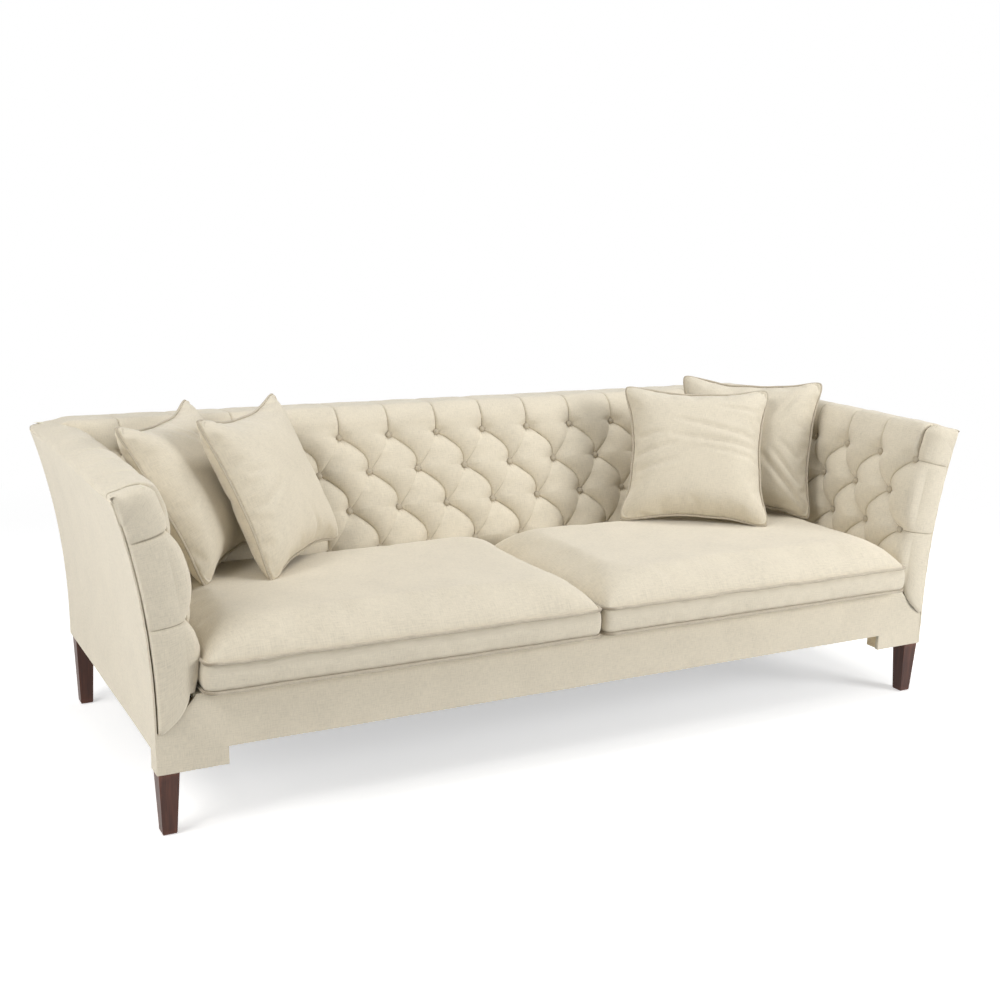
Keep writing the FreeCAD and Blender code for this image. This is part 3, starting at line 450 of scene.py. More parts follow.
# Painted shade: the button heads take a darker copy of the linen for the shade they sit in
shaded_button_linen = cloth_material("shaded_button_linen", shaded_button_colour, relief=0.0002, sheen=0.1)
cord_linen = cloth_material("cord_linen", cord_colour, thread=0.0010, relief=0.00025)
webbing_tape = cloth_material("webbing_tape", (0.42, 0.32, 0.20), thread=0.0020, relief=0.0006, on_uv=False)
dust_cloth = cloth_material("dust_cloth", (0.045, 0.045, 0.05), thread=0.0008, relief=0.0002, on_uv=False,
                            sheen=0.1)
zip_tape = cloth_material("zip_tape", (0.55, 0.49, 0.39), thread=0.0007, relief=0.0002, on_uv=False)
walnut = wood_material("walnut", walnut_dark, walnut_light, 2, 0.36, 0.08)
frame_timber = wood_material("frame_timber", (0.45, 0.30, 0.17), (0.72, 0.56, 0.37), 0, 0.55, 0.0)
upholstery_foam = foam_material("upholstery_foam", (0.86, 0.82, 0.66))
spring_steel = metal_material("spring_steel", (0.42, 0.43, 0.45), 0.30)
fixing_steel = metal_material("fixing_steel", (0.62, 0.62, 0.58), 0.25)
glide_plastic = plastic_material("glide_plastic", (0.06, 0.055, 0.05))
slot_materials = {
    "linen": cloth_material("linen_plain", linen_colour, on_uv=False),
    "cord_linen": cloth_material("cord_linen_plain", cord_colour, on_uv=False),
    "feather_fill": cloth_material("feather_fill", (0.86, 0.85, 0.82), thread=0.0006, on_uv=False),
    "walnut": walnut,
    "frame_timber": frame_timber,
    "upholstery_foam": upholstery_foam,
    "webbing_tape": webbing_tape,
    "dust_cloth": dust_cloth,
    "spring_steel": spring_steel,
    "fixing_steel": fixing_steel,
    "zip_tape": zip_tape,
    "glide_plastic": glide_plastic,
}


# The curves that the pads follow
def arm_point(depth, angle, rise=0.0):
    """Points (x, z) of the right arm's section: depth in from the outer face, at an angle up its curve."""
    bend = np.maximum(angle, 0.0)
    foot = np.minimum(angle, 0.0) * arm_radius
    reach = arm_radius + depth
    x = arm_centre_x - reach * np.cos(bend) + rise * np.sin(bend)
    z = flare_start + reach * np.sin(bend) + rise * np.cos(bend) + foot
    return x, z


def arm_angle(depth, z):
    """The angle at which the arm's section reaches a height at a depth; negative on the upright foot."""
    above = np.maximum(z - flare_start, 0.0)
    return np.arcsin(above / (arm_radius + depth)) + np.minimum(z - flare_start, 0.0) / arm_radius


def arm_corner():
    """Where the arms' tufted insides end at the top, as x."""
    return float(arm_point(floor_depth, top_angle, 0.012)[0])


def rear_y(z):
    """The outside of the back at a height."""
    return rear_base_y + rear_slope * (z - side_foot_z)


def floor_y(z):
    """The tufts' floor on the back at a height."""
    return back_floor_y + back_rake * (z - back_rows[0])


def mitre_at_x(x):
    """Where the corner between back and arm lies, as y for an x."""
    return mitre_y + mitre_slope * (x - mitre_x)


def mitre_at_y(y):
    """Where the corner between back and arm lies, as x for a y."""
    return mitre_x + (y - mitre_y) / mitre_slope


# Tufting
def row_levels(start):
    """Row values from start up to the top button row, closer together at the buttons."""
    values = [start]
    for row in range(int(math.floor(start)), int(last_row)):
        for step in range(row_steps):
            t = step / row_steps
            value = row + 0.5 * t + 0.25 * (1 - math.cos(math.pi * t))
            if value > start:
                values.append(value)
    return np.array(values + [last_row])


def tuft_rows(rows, foot_z, gap):
    """Row values along a pad from its foot to the top buttons, and the height of each."""
    v = row_levels((foot_z - rows[0]) / gap)
    z = np.interp(v, np.arange(len(rows)), rows)
    return v, np.where(v < 0, rows[0] + gap * v, z)


def tuft_pattern(v, climb, numbers, pitch, where):
    """The columns of a tufted pad: place along the row, swell share, and the shift of each fold's lip.

    v is the row value, climb how far past the top row, both one per row. Segment n is centred n / 2
    pitches along; even ones are pulled to nothing on even rows and odd ones on odd rows.
    """
    bows = fold_bow[where]
    deep_fold, light_fold = fold_share[where]
    deep_dent, light_dent = dent_share[where]
    above = climb > 0.0
    fold = np.where(above, 1.0, np.abs((v + 1.0) % 2.0 - 1.0))
    level = np.floor(np.where(above, last_row - 0.5, v))
    arc = np.where(above, 0.0, np.sin(np.pi * (v - np.floor(v))))
    arc = np.where(v >= last_row, 0.0, arc)
    climb_share = 1.0 - np.exp(-climb / climb_fade)
    rising = level % 2.0 == 0.0
    s = (0.5 * (1.0 - np.cos(np.pi * np.arange(column_steps + 1) / column_steps)))[None, :]
    across = s * s * (3 - 2 * s)
    inner = (s > 0.0) & (s < 1.0)
    places, swells, sides, downs = [], [], [], []
    for number in numbers:
        even = number % 2 == 0
        width = fold if even else 1.0 - fold
        growing = rising if even else ~rising
        growing = np.where(above, even, growing)
        left_bow = np.where(growing, bows[0], bows[1]) * arc
        right_bow = np.where(growing, bows[1], bows[0]) * arc
        left = (number / 2 - width / 2) * pitch + left_bow
        right = (number / 2 + width / 2) * pitch + right_bow
        local = np.where(growing, width - 1.0, 1.0 - width)
        top = smooth(-0.3, 0.3, local)
        top = np.where(above, mix(0.5, 0.1, climb_share), top)
        left_power = mix(*left_powers, top)[:, None]
        right_power = mix(*right_powers, top)[:, None]
        power = mix(left_power, right_power, across)
        power = np.where(above[:, None], mix(power, top_power, climb_share[:, None]), power)
        arch = np.power(np.clip(4 * s * (1 - s), 1e-9, 1.0), power)
        narrow = np.power(np.sin(0.5 * np.pi * np.minimum(width, 1.0 - width)), narrow_power)
        left_fold = np.where(growing, deep_fold, light_fold) * narrow
        right_fold = np.where(growing, light_fold, deep_fold) * narrow
        pleat = mix(left_fold[:, None], right_fold[:, None], across)
        pleat = pleat + np.where(above, top_pleat * climb_share, 0.0)[:, None]
        full = (np.power(np.sin(0.5 * np.pi * width), narrow_power) * mix(*full_heights, top))[:, None]
        swell = pleat + (full - pleat) * arch
        metres = width[:, None] * pitch
        strength = np.where(above, 0.6 * climb_share * np.exp(-climb / 0.10), (1.0 - top) * np.sqrt(arc))
        left_lip = np.exp(-s * metres / lip_reach[0]) * strength[:, None] * inner
        right_lip = np.exp(-(1 - s) * metres / lip_reach[1]) * strength[:, None] * inner
        left_dent = np.where(above, top_dent, np.where(growing, deep_dent, light_dent))[:, None]
        right_dent = np.where(above, top_dent, np.where(growing, light_dent, deep_dent))[:, None]
        dent = left_dent * (s <= 0.0) + right_dent * (s >= 1.0)
        dent = dent * np.sqrt(arc + np.where(above, climb_share, 0.0))[:, None]
        places.append(left[:, None] + (right - left)[:, None] * s)
        swells.append(swell - dent * np.minimum(metres / 0.01, 1.0))
        sides.append(-lip_shift[0] * left_lip + lip_shift[1] * right_lip)
        downs.append(lip_drop * left_lip * ~above[:, None])
    # Neighbouring segments share a column, which is kept once
    return [np.concatenate(parts[:1] + [part[:, 1:] for part in parts[1:]], axis=1)
            for parts in (places, swells, sides, downs)]


def button_dimples(place, height, pitch, rows, seed):
    """Small gathers that run out from each button, and the share of swell left in the hollow round it."""
    best = np.full(place.shape, 9.0)
    gather = np.zeros(place.shape)
    for index, row in enumerate(rows):
        shift = 0.5 * (index % 2)
        column = np.round(place / pitch - shift) + shift
        across = place - column * pitch
        up = height - row
        distance = np.hypot(across, up)
        turn = np.arctan2(up, across)
        phase = np.sin(column * 12.9898 + index * 78.233 + seed) * 43.7585
        lobes = 8 + np.floor((np.sin(column * 3.7 + index * 1.3 + seed) + 1) * 2.2)
        wave = 0.5 - 0.5 * np.cos(lobes * turn + phase)
        hollow = np.exp(-((distance - 0.015) / 0.010) ** 2) * wave
        nearer = distance < best
        gather = np.where(nearer, hollow, gather)
        best = np.minimum(best, distance)
    return gather, 1.0 - np.exp(-(best / button_hollow) ** 2)


def path_points(controls, count):
    """Points at even steps along a chain of straight and curved stretches, with the way along each."""
    fine = []
    for piece in controls:
        points = [np.array(p) for p in piece]
        shares = np.linspace(0.0, 1.0, 40)
        if len(points) == 2:
            fine += [mix(points[0], points[1], t) for t in shares]
        else:
            a, b, c, d = points
            fine += [a * (1 - t) ** 3 + 3 * b * t * (1 - t) ** 2 + 3 * c * t * t * (1 - t) + d * t ** 3
                     for t in shares]
    fine = np.array(fine)
    steps = np.hypot(*np.diff(fine, axis=0).T)
    fine = fine[np.concatenate([[True], steps > 1e-7])]
    length = run_along(np.hypot(*np.diff(fine, axis=0).T))

    def at(run):
        """Points at distances along the chain."""
        return np.stack([np.interp(run, length, fine[:, k]) for k in range(2)], axis=1)

    wanted = np.linspace(0.0, length[-1], count)
    way = at(wanted + 0.0005) - at(wanted - 0.0005)
    way /= np.hypot(*way.T)[:, None]
    return at(wanted), way, wanted


def tufted_piece(name, points, uv, flip, node):
    """A tufted cover from the grid of its points, standing for one node of the model."""
    faces = grid_faces(*points.shape[:2], flip)
    piece = new_object(name, points.reshape(-1, 3), faces, uv.reshape(-1, 2), linen)
    edit_mesh(piece, merge_doubles)
    claim(piece, "frame", "linen", node)


def build_back_tufts():
    """The tufted inside of the back, over its rounded top to the rear edge."""
    v_rows, z_rows = tuft_rows(back_rows, back_foot_z, back_row_gap)
    top = back_rows[-1]
    slope = np.array((back_rake, 1.0)) / rake_length
    start = np.array((floor_y(roll_start), roll_start))
    crown = np.array((start[0] + crown_reach, back_crest))
    rear = rear_y(back_crest) - rear_turn
    controls = [
        ((floor_y(top), top), start),
        (start, start + slope * 0.026, crown - (0.022, 0.0), crown),
        (crown, (rear, back_crest)),
        ((rear, back_crest), (rear + 0.005, back_crest), (rear + rear_turn, back_crest - 0.002),
         (rear + rear_turn, back_crest - 0.009)),
    ]
    path, way, run = [part[1:] for part in path_points(controls, 40)]
    level = np.ones(len(z_rows))
    y = np.concatenate([floor_y(z_rows), path[:, 0]])
    z = np.concatenate([z_rows, path[:, 1]])
    climb = np.concatenate([0.0 * level, run])
    v = np.concatenate([v_rows, np.full(len(run), last_row)])
    normal_y = np.concatenate([level * -1 / rake_length, -way[:, 1]])[:, None]
    normal_z = np.concatenate([level * (back_rake / rake_length), way[:, 0]])[:, None]
    share = np.interp(v, *back_fullness[0]) * np.interp(climb, *back_fullness[1])
    x, swell, side, down = tuft_pattern(v, climb, range(-17, 18), back_pitch, "back")
    high = spread(z + climb, x)
    gather, hollow = button_dimples(x, high, back_pitch, back_rows, 3.0)
    swell = swell * hollow
    gather = gather * (climb < 0.05)[:, None]
    limit = (mitre_at_y(y) + 0.014 - 0.010 * smooth(0.08, 0.13, climb))[:, None]
    room = limit - np.abs(x)
    ends = smooth(0.0, corner_room, room)
    lump = 1.0 + 0.07 * ripple(x, high, 11, 0.30)
    rise = tuft_rise * share[:, None] * swell * lump * ends - gather_depth * gather * ends
    rise += 0.0008 * ripple(x, high, 12, 0.07) * ends * smooth(0.0, 0.4, swell)
    rise -= corner_tuck * (1.0 - smooth(0.0, 0.014, room)) * (climb < 0.08)[:, None]
    x = np.clip(x + side * ends, -limit, limit)
    # Beyond the arms' corner the top slopes down to the arms
    corner = arm_corner()
    drop = np.maximum(np.abs(x) - corner, 0.0) * (back_top_z - arm_height) / (half_top - corner)
    drop *= smooth(roll_start, back_crest, z)[:, None]
    # Near the corner the top rises to the arm's top, and its rear edge stays down on the outside back
    arm_top = arm_height + math.tan(top_angle) * (half_top - np.abs(x)) + 0.0095
    fall = np.where(y > rear - 0.001, 0.009, 0.030)
    near = (1.0 - smooth(0.010, 0.070, room)) * smooth(0.0, 1.0, 1.0 - (back_crest - z) / fall)[:, None]
    drop -= np.clip(arm_top - z[:, None] + drop, 0.0, 0.012) * near
    down = down * ends
    points = stack(x, y[:, None] + normal_y * rise - down * back_rake / rake_length,
                   z[:, None] + normal_z * rise - down / rake_length - drop)
    tufted_piece("back_tufts", points, stack(x, high), False, "back_tufted_cover")


def round_off(a, b, c, radii_a, radius_b, radius_c, deep):
    """Rounds the edges of a block that starts at a = 0, b = 0, c = 0 and ends at a = deep.

    Returns the moved point and the direction out of the surface there.
    """
    low, high = radii_a
    qa = np.clip(a, low, deep - high)
    qb = np.maximum(b, radius_b)
    qc = np.maximum(c, radius_c)
    ra = np.where(a > qa, high, low)
    da = (a - qa) / ra
    db = (b - qb) / radius_b
    dc = (c - qc) / radius_c
    size = np.sqrt(da ** 2 + db ** 2 + dc ** 2)
    size = np.where(size < 1e-6, 1.0, size)
    da, db, dc = da / size, db / size, dc / size
    out = stack(da / ra, db / radius_b, dc / radius_c)
    out /= np.maximum(np.linalg.norm(out, axis=-1, keepdims=True), 1e-9)
    return qa + da * ra, qb + db * radius_b, qc + dc * radius_c, out


def build_arm_tufts(side, word, seed):
    """One arm's tufted inside with its padded front and top."""
    top_pad = 0.010
    fan_start = 0.060
    groove = 0.0055
    v_rows, z_rows = tuft_rows(arm_rows, arm_foot_z, arm_row_gap)
    c_rows = (top_angle - arm_angle(floor_depth, z_rows)) * arm_radius
    c_more = np.linspace(c_rows[-1], fan_start, 9)[1:]
    # The top's rows fan out round a corner and end turned over the outer edge
    angles = np.radians(chain((2, 22, 7), (25, 48, 12), (52, 90, 10)))
    reach = np.minimum((floor_depth - groove) / np.cos(angles),
                       (fan_start + top_pad) / np.maximum(np.sin(angles), 0.01))
    fan_a = groove + reach * np.cos(angles)
    fan_c = fan_start - reach * np.sin(angles)
    over_a = np.array((groove / 2, 0.0, 0.0, 0.0, 0.002))
    over_c = np.array((0.0, 0.0, 0.004, 0.009, 0.0125)) - top_pad
    row_a = np.concatenate([np.full(len(c_rows) + len(c_more), floor_depth), fan_a, over_a])
    row_c = np.concatenate([c_rows, c_more, fan_c, over_c])
    length = run_along(np.hypot(np.diff(row_a), np.diff(row_c)))
    rows = len(row_a)
    main = len(c_rows)
    climb = np.maximum(length - length[main - 1], 0.0)
    v = np.concatenate([v_rows, np.full(rows - main, last_row)])
    fan = np.arange(rows) >= main + len(c_more)
    over = np.arange(rows) >= rows - len(over_a)

    # Columns of the tufted length
    halved = column_steps // 2
    pattern = tuft_pattern(v, climb, range(-1, 14), arm_pitch, "arm")
    place, swell, lip_side, lip_down = [part[:, halved:] for part in pattern]
    origin = arm_first_column + arm_pitch / 2
    face_y = front_y - front_pad
    line_b = arm_first_column - face_y

    # Columns ahead of the first button line: along the side, round the corner and over the front
    side_b = np.array((0.0, 0.002, 0.0045, 0.008, 0.012, 0.0165, 0.021, 0.027, 0.034))
    front_f = chain(0.0, 0.012, 0.03, 0.055, (0.09, 0.80, 12), (0.84, 0.985, 8))
    fronts = len(front_f)
    front_share = np.concatenate([front_f, np.ones(len(side_b))])
    ahead_a = np.concatenate([groove + front_f[None, :] * (row_a - groove)[:, None],
                              np.repeat(row_a[:, None], len(side_b), axis=1)], axis=1)
    ahead = ahead_a.shape[1]
    columns = ahead + place.shape[1] - 1
    fan_row_c = fan_start + (row_c - fan_start)[:, None] * front_share[None, :]
    seam_drop = 0.080 * (1.0 - front_share ** 1.4)[None, :]
    plain_c = row_c[:, None] + smooth(1.0, v_rows[0], v)[:, None] * seam_drop
    ahead_c = np.where(fan[:, None], fan_row_c, plain_c)
    ahead_b = np.broadcast_to(np.concatenate([np.zeros(fronts), side_b])[None, :], ahead_a.shape)
    tuck = over[:, None] & (np.arange(ahead) < fronts)[None, :]
    ahead_a = np.where(tuck, groove, ahead_a)
    last_fan = np.flatnonzero(fan & ~over)[-1]
    ahead_c = np.where(tuck, ahead_c[last_fan][None, :], ahead_c)
    ahead_b = np.where(tuck, 0.006, ahead_b)

    # Swell ahead of the first button line
    distance = np.concatenate([line_b + (1.0 - front_f) * floor_depth, line_b - side_b])
    q = (distance / (line_b + floor_depth))[None, :]
    near = np.minimum(np.abs(v - 1.0), np.abs(v - 3.0)) + climb * 9
    cell = (1.0 - np.exp(-near / 0.07))[:, None]
    dome = np.sqrt(np.clip(1.0 - ((q - 0.62) / 0.40) ** 2, 0.0, 1.0)) * (q > 0.3)
    face_share = (0.17 * cell + 0.05) * np.where(q > 0.62, dome, 1.0)
    tongue = np.maximum(swell[:, :1], 0.35 * (1.0 - np.exp(-q / 0.06)) * (climb > 0)[:, None])
    ahead_swell = mix(tongue, face_share, smooth(0.02, 0.36, q))
    pleat_dip = np.exp(-near / 0.018)[:, None] * smooth(0.0, 0.2, q) * (1 - smooth(0.93, 1.0, q))
    pleat_lip = np.exp(-np.abs(v - 1.03) / 0.03) + np.exp(-np.abs(v - 3.03) / 0.03) * (climb <= 0.0)
    share = np.interp(v, *arm_fullness[0]) * np.interp(climb, *arm_fullness[1])

    def joined(front, behind):
        """The columns ahead of the first button line and those of the tufted length."""
        return np.concatenate([front, behind], axis=1)

    def front_only(part):
        """A value that only the first columns have."""
        part = np.broadcast_to(part, (rows, part.shape[1]))
        return joined(part, np.zeros((rows, columns - part.shape[1])))

    behind = (columns - ahead, 1)
    a = joined(ahead_a, np.tile(row_a, behind).T)
    c = joined(ahead_c, np.tile(row_c, behind).T)
    b = joined(ahead_b, (place + origin)[:, 1:] - face_y)
    full = joined(ahead_swell, swell[:, 1:])
    still = np.zeros(ahead_a.shape)
    lip_side = joined(still, lip_side[:, 1:])
    lip_down = joined(still, lip_down[:, 1:])

    # Room to the corner with the back; past the rear the cover turns down behind the arm
    x_floor = arm_point(row_a, top_angle - np.maximum(row_c, 0) / arm_radius, np.maximum(-row_c, 0))[0]
    limit = (mitre_at_x(x_floor) - face_y + mix(0.004, 0.014, smooth(0.030, 0.060, row_a)))[:, None]
    rear_limit = rear_y(arm_height) - 0.0005 - face_y
    turned = np.where(limit > rear_limit, np.clip(b - rear_limit, 0.0, 0.014), 0.0)
    limit = np.minimum(limit, rear_limit)
    room = limit - b
    ends = smooth(0.0, corner_room, room)
    radius_share = smooth(0.04, 0.45, a / floor_depth)
    radius_b = mix(0.009, 0.032, radius_share)
    radius_c = mix(0.009, 0.036, radius_share)
    b = np.minimum(b + lip_side * ends, limit)
    pa, pb, pc, out = round_off(a, b, c + top_pad, (0.006, 0.050), radius_b, radius_c, floor_depth)
    pc = np.minimum(pc - top_pad + turned, np.maximum(pc - top_pad, 0.004))
    run = spread(length, a)
    up = spread(np.interp(v, np.arange(len(arm_rows)), arm_rows) + climb, b)
    gather, hollow = button_dimples(b + face_y - origin, up, arm_pitch, arm_rows, seed)
    beside = (b > line_b - 0.03) & (climb < 0.05)[:, None]
    gather = gather * beside
    full = full * np.where(beside, hollow, 1.0)
    lump = 1.0 + 0.06 * ripple(b, run, seed + 1, 0.28)
    strength = mix(share[:, None], 1.0, front_only(smooth(0.10, 0.48, q)) * (climb < 0.2)[:, None])
    rise = tuft_rise * strength * full * lump * ends - gather_depth * gather * ends
    rise += 0.0007 * ripple(b, run, seed + 2, 0.07) * ends * smooth(0.02, 0.3, full)
    rise -= 0.0022 * front_only(pleat_dip)
    rise -= corner_tuck * (1.0 - smooth(0.0, 0.014, room)) * (row_a > 0.06)[:, None]
    recess = front_only(0.0085 * np.exp(-(ahead_a[:, :fronts] - groove) / 0.0028))
    pleat_lips = front_only(pleat_lip[:, None] * smooth(0.05, 0.3, q) * (1 - smooth(0.9, 1.0, q)))
    pa = pa + out[..., 0] * rise
    pb = pb + out[..., 1] * rise + recess
    pc = pc + out[..., 2] * rise + lip_down * ends
    pc = pc + 0.0022 * pleat_lips
    # The lower edge of the front is turned in behind the border
    hem = np.concatenate([np.ones(fronts), 1 - smooth(0.0, 0.02, side_b), np.zeros(columns - ahead)])
    pb = pb + 0.007 * hem[None, :] * np.exp(-(length / 0.004))[:, None]
    x, z = arm_point(pa, top_angle - np.maximum(pc, 0) / arm_radius, np.maximum(-pc, 0))
    cloth_u = np.broadcast_to(front_f * floor_depth - floor_depth, (rows, fronts))
    uv = stack(joined(cloth_u, b[:, fronts:]), run)
    points = stack(side * x, pb + face_y, z)
    tufted_piece("arm_tufts_" + word, points, uv, side > 0, "arm_tufted_cover_" + word)


def button_mesh(places, name, seed):
    """Covered buttons with a gathered rim, one at each place and normal."""
    draw = random.Random(seed)
    turns = 28
    profile = ((0.0, 0.0066), (0.0022, 0.0065), (0.0045, 0.0060), (0.0066, 0.0050), (0.0082, 0.0036),
               (0.0092, 0.0020), (0.0095, 0.0004), (0.0088, -0.0012))
    points, faces, uv = [], [], []
    for centre, normal in places:
        normal = Vector(normal).normalized()
        turn = normal.to_track_quat("Z", "Y").to_matrix()
        spin = draw.uniform(0.0, 6.28)
        lobes = draw.choice((9, 10, 11, 12))
        lean_x, lean_y = draw.uniform(-0.06, 0.06), draw.uniform(-0.06, 0.06)
        base = len(points)
        points.append(Vector(centre) + turn @ Vector((0, 0, profile[0][1])))
        uv.append((centre[0], centre[2]))
        for radius, height in profile[1:]:
            for step in range(turns):
                angle = 2 * math.pi * step / turns
                pull = max(radius - 0.005, 0.0) / 0.0045
                wave = math.cos(lobes * angle + spin)
                r = radius * (1.0 + 0.025 * pull * wave)
                h = height + 0.0004 * pull * wave + r * (lean_x * math.cos(angle) + lean_y * math.sin(angle))
                local = Vector((r * math.cos(angle), r * math.sin(angle), h))
                points.append(Vector(centre) + turn @ local)
                uv.append((centre[0] + local.x, centre[2] + local.y))
        for step in range(turns):
            faces.append((base, base + 1 + step, base + 1 + (step + 1) % turns))
        for ring in range(len(profile) - 2):
            low = base + 1 + ring * turns
            for step in range(turns):
                after = (step + 1) % turns
                faces.append((low + step, low + turns + step, low + turns + after, low + after))
    return new_object(name, points, faces, uv, shaded_button_linen)


def build_buttons():
    """The buttons of the back and of both arms."""
    places = []
    for index, z in enumerate(back_rows):
        for number in range(-7, 8):
            x = back_pitch * (number + 0.5 * (index % 2))
            if abs(x) < mitre_at_y(floor_y(z)) - button_room:
                lift = button_lift / rake_length
                places.append(((x, floor_y(z) - lift, z + lift * back_rake), (0.0, -1.0, back_rake)))
    piece = button_mesh(places, "back_button_heads", 5)
    claim(piece, "frame", "linen", "back_buttons")
    for side, word in both_sides:
        places = []
        for index, z in enumerate(arm_rows):
            angle = arm_angle(floor_depth, z)
            x, z = arm_point(floor_depth + button_lift, angle)
            for number in range(8):
                y = arm_first_column + arm_pitch * (number + 0.5 * (index % 2 == 0))
                if y < mitre_at_x(x) - button_room:
                    places.append(((side * x, y, z), (-side * math.cos(angle), 0.0, math.sin(angle))))
        piece = button_mesh(places, "arm_button_heads_" + word, 6 + side)
        claim(piece, "frame", "linen", "arm_buttons_" + word)


# Outside panels and border
def panel(name, points, uv, *nodes, thickness, bevel, flip=False, keep=None):
    """A cloth-covered board from a grid of its outer face; keep says which cells it has, if not all."""
    faces = grid_faces(*points.shape[:2], flip)
    if keep is not None:
        faces = faces[keep.ravel()]
    piece = new_object(name, points.reshape(-1, 3), faces, uv.reshape(-1, 2), linen)
    edit_mesh(piece, drop_loose)
    solid = piece.modifiers.new("board", "SOLIDIFY")
    solid.thickness = thickness
    solid.offset = -1.0
    solid.use_even_offset = True
    round_edges(piece, bevel, 3, 50)
    apply_modifiers(piece)
    piece.data.polygons.foreach_set("use_smooth", [True] * len(piece.data.polygons))
    claim(piece, "frame", "linen", *nodes)


def puckers(distance, reach, a, b, seed, length):
    """Small puckers along an edge, which fade away from it."""
    return np.exp(-distance / reach) * ripple(a, b, seed, length) * pucker_depth


def build_outside_arm(side, word):
    """The outside of one arm, flared, with a soft unevenness and puckers along its edges."""
    face = front_y - 0.0015
    rear_line = 0.4985
    y_line = chain((face, face + 0.02, 6), (face + 0.035, 0.462, 90), (0.470, rear_line, 6))
    angles = np.linspace(arm_angle(0.0, side_foot_z), top_angle, 70)
    rear = rear_y(arm_point(0.0, angles)[1])[:, None] - 0.0005
    y = face + (y_line - face)[None, :] / (rear_line - face) * (rear - face)
    run = spread(angles * arm_radius, y)
    from_top = spread(angles[-1] - angles, y) * arm_radius
    pucker = puckers(y - face, 0.018, run, 0 * run, 31 + side, 0.045)
    pucker += puckers(from_top, 0.016, y, 0 * y, 33 + side, 0.05)
    proud = 0.0011 * ripple(y, run, 35 + side, 0.42) + 0.0012 + pucker
    x, z = arm_point(-proud, spread(angles, proud))
    panel("outside_arm_" + word, stack(side * x, y, z), stack(y, run), "outside_arm_panel_" + word,
          thickness=0.0052, bevel=0.0016, flip=side < 0)


def build_outside_back():
    """The plain outside of the back."""
    rise = chain((side_foot_z, arm_height, 44), 0.772, 0.779, 0.785, back_top_z)
    half = arm_point(0.0, arm_angle(0.0, np.minimum(rise, arm_height)))[0]
    corner = arm_corner()
    slant = (half_top - corner) / (back_top_z - arm_height)
    half = np.where(rise > arm_height, half_top - (rise - arm_height) * slant, half)[:, None] - 0.001
    x = half * chain(-1.0, -0.995, -0.985, (-0.97, 0.97, 150), 0.985, 0.995, 1.0)[None, :]
    z = spread(rise, x)
    pucker = puckers(np.minimum(half - np.abs(x), back_top_z - z), 0.018, x + z, z - x, 41, 0.05)
    y = rear_y(z) + 0.0012 * ripple(x, z, 42, 0.45) + pucker + 0.0006
    panel("outside_back", stack(x, y, z), stack(x, z), "outside_back_panel",
          thickness=0.005, bevel=0.0016, flip=True)


def build_border():
    """The front border: two dropped ends, curved shoulders under the arms and wrapped corners."""
    notch_x = half_base - 0.162
    notch_z = 0.192
    foot_z = 0.150
    shoulder_z = 0.2457
    inner_x = half_base - floor_depth
    x_half = chain((0.0, notch_x - 0.012, 78), notch_x - 0.004, notch_x,
                   (notch_x + 0.006, inner_x - 0.004, 9), (inner_x, half_base - 0.004, 16),
                   half_base - 0.0015, half_base)
    x_line = np.concatenate([-x_half[:0:-1], x_half])
    z_line = chain(foot_z, (foot_z + 0.004, notch_z - 0.004, 6), notch_z, (notch_z + 0.004, deck_z, 16))
    x, level = np.meshgrid(x_line, z_line)
    share = np.clip((half_base - np.abs(x)) / floor_depth, 0.0, 1.0)
    top = shoulder_z + (deck_z - shoulder_z) * share ** 1.4
    climb = np.clip((level - notch_z) / (deck_z - notch_z), 0.0, 1.0)
    z = np.where(level > notch_z, notch_z + (top - notch_z) * climb, level)
    edge = np.minimum(z - foot_z, top - z)
    soft = 0.0010 * ripple(x, z, 51, 0.30) + 0.0006 * ripple(x, z, 52, 0.06) * np.exp(-edge / 0.02)
    y = front_y - 0.0010 - soft + 0.002 * smooth(0.012, 0.0, top - z)
    mid_x = 0.5 * (x_line[1:] + x_line[:-1])
    mid_z = 0.5 * (z_line[1:] + z_line[:-1])
    keep = ~((np.abs(mid_x)[None, :] < notch_x) & (mid_z[:, None] < notch_z))
    panel("border", stack(x, y, z), stack(x, z), "front_border", thickness=0.0115, bevel=0.0032, keep=keep)
    for side, word in both_sides:
        y, z = np.meshgrid(chain(front_y - 0.001, (front_y + 0.004, front_y + 0.050, 12)),
                           np.linspace(foot_z, side_foot_z, 14))
        x = side * (half_base + 0.0008 + 0.0004 * ripple(y, z, 55 + side, 0.06))
        panel("border_wrap_" + word, stack(x, y, z), stack(y, z),
              thickness=0.0075, bevel=0.002, flip=side < 0)


def build_deck():
    """The lining over the seat springs, slightly domed."""
    low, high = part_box("deck_cover")
    x, y = np.meshgrid(np.linspace(low[0], high[0], 120), np.linspace(low[1], high[1], 50))
    edge = np.minimum(np.minimum(x - low[0], high[0] - x), np.minimum(y - low[1], high[1] - y))
    z = high[2] - 0.004 + 0.004 * smooth(0.0, 0.09, edge) + 0.0006 * ripple(x, y, 61, 0.22)
    z = np.minimum(z, high[2])
    panel("deck_lining", stack(x, y, z), stack(x, y), "deck_cover", thickness=0.0015, bevel=0.0005)


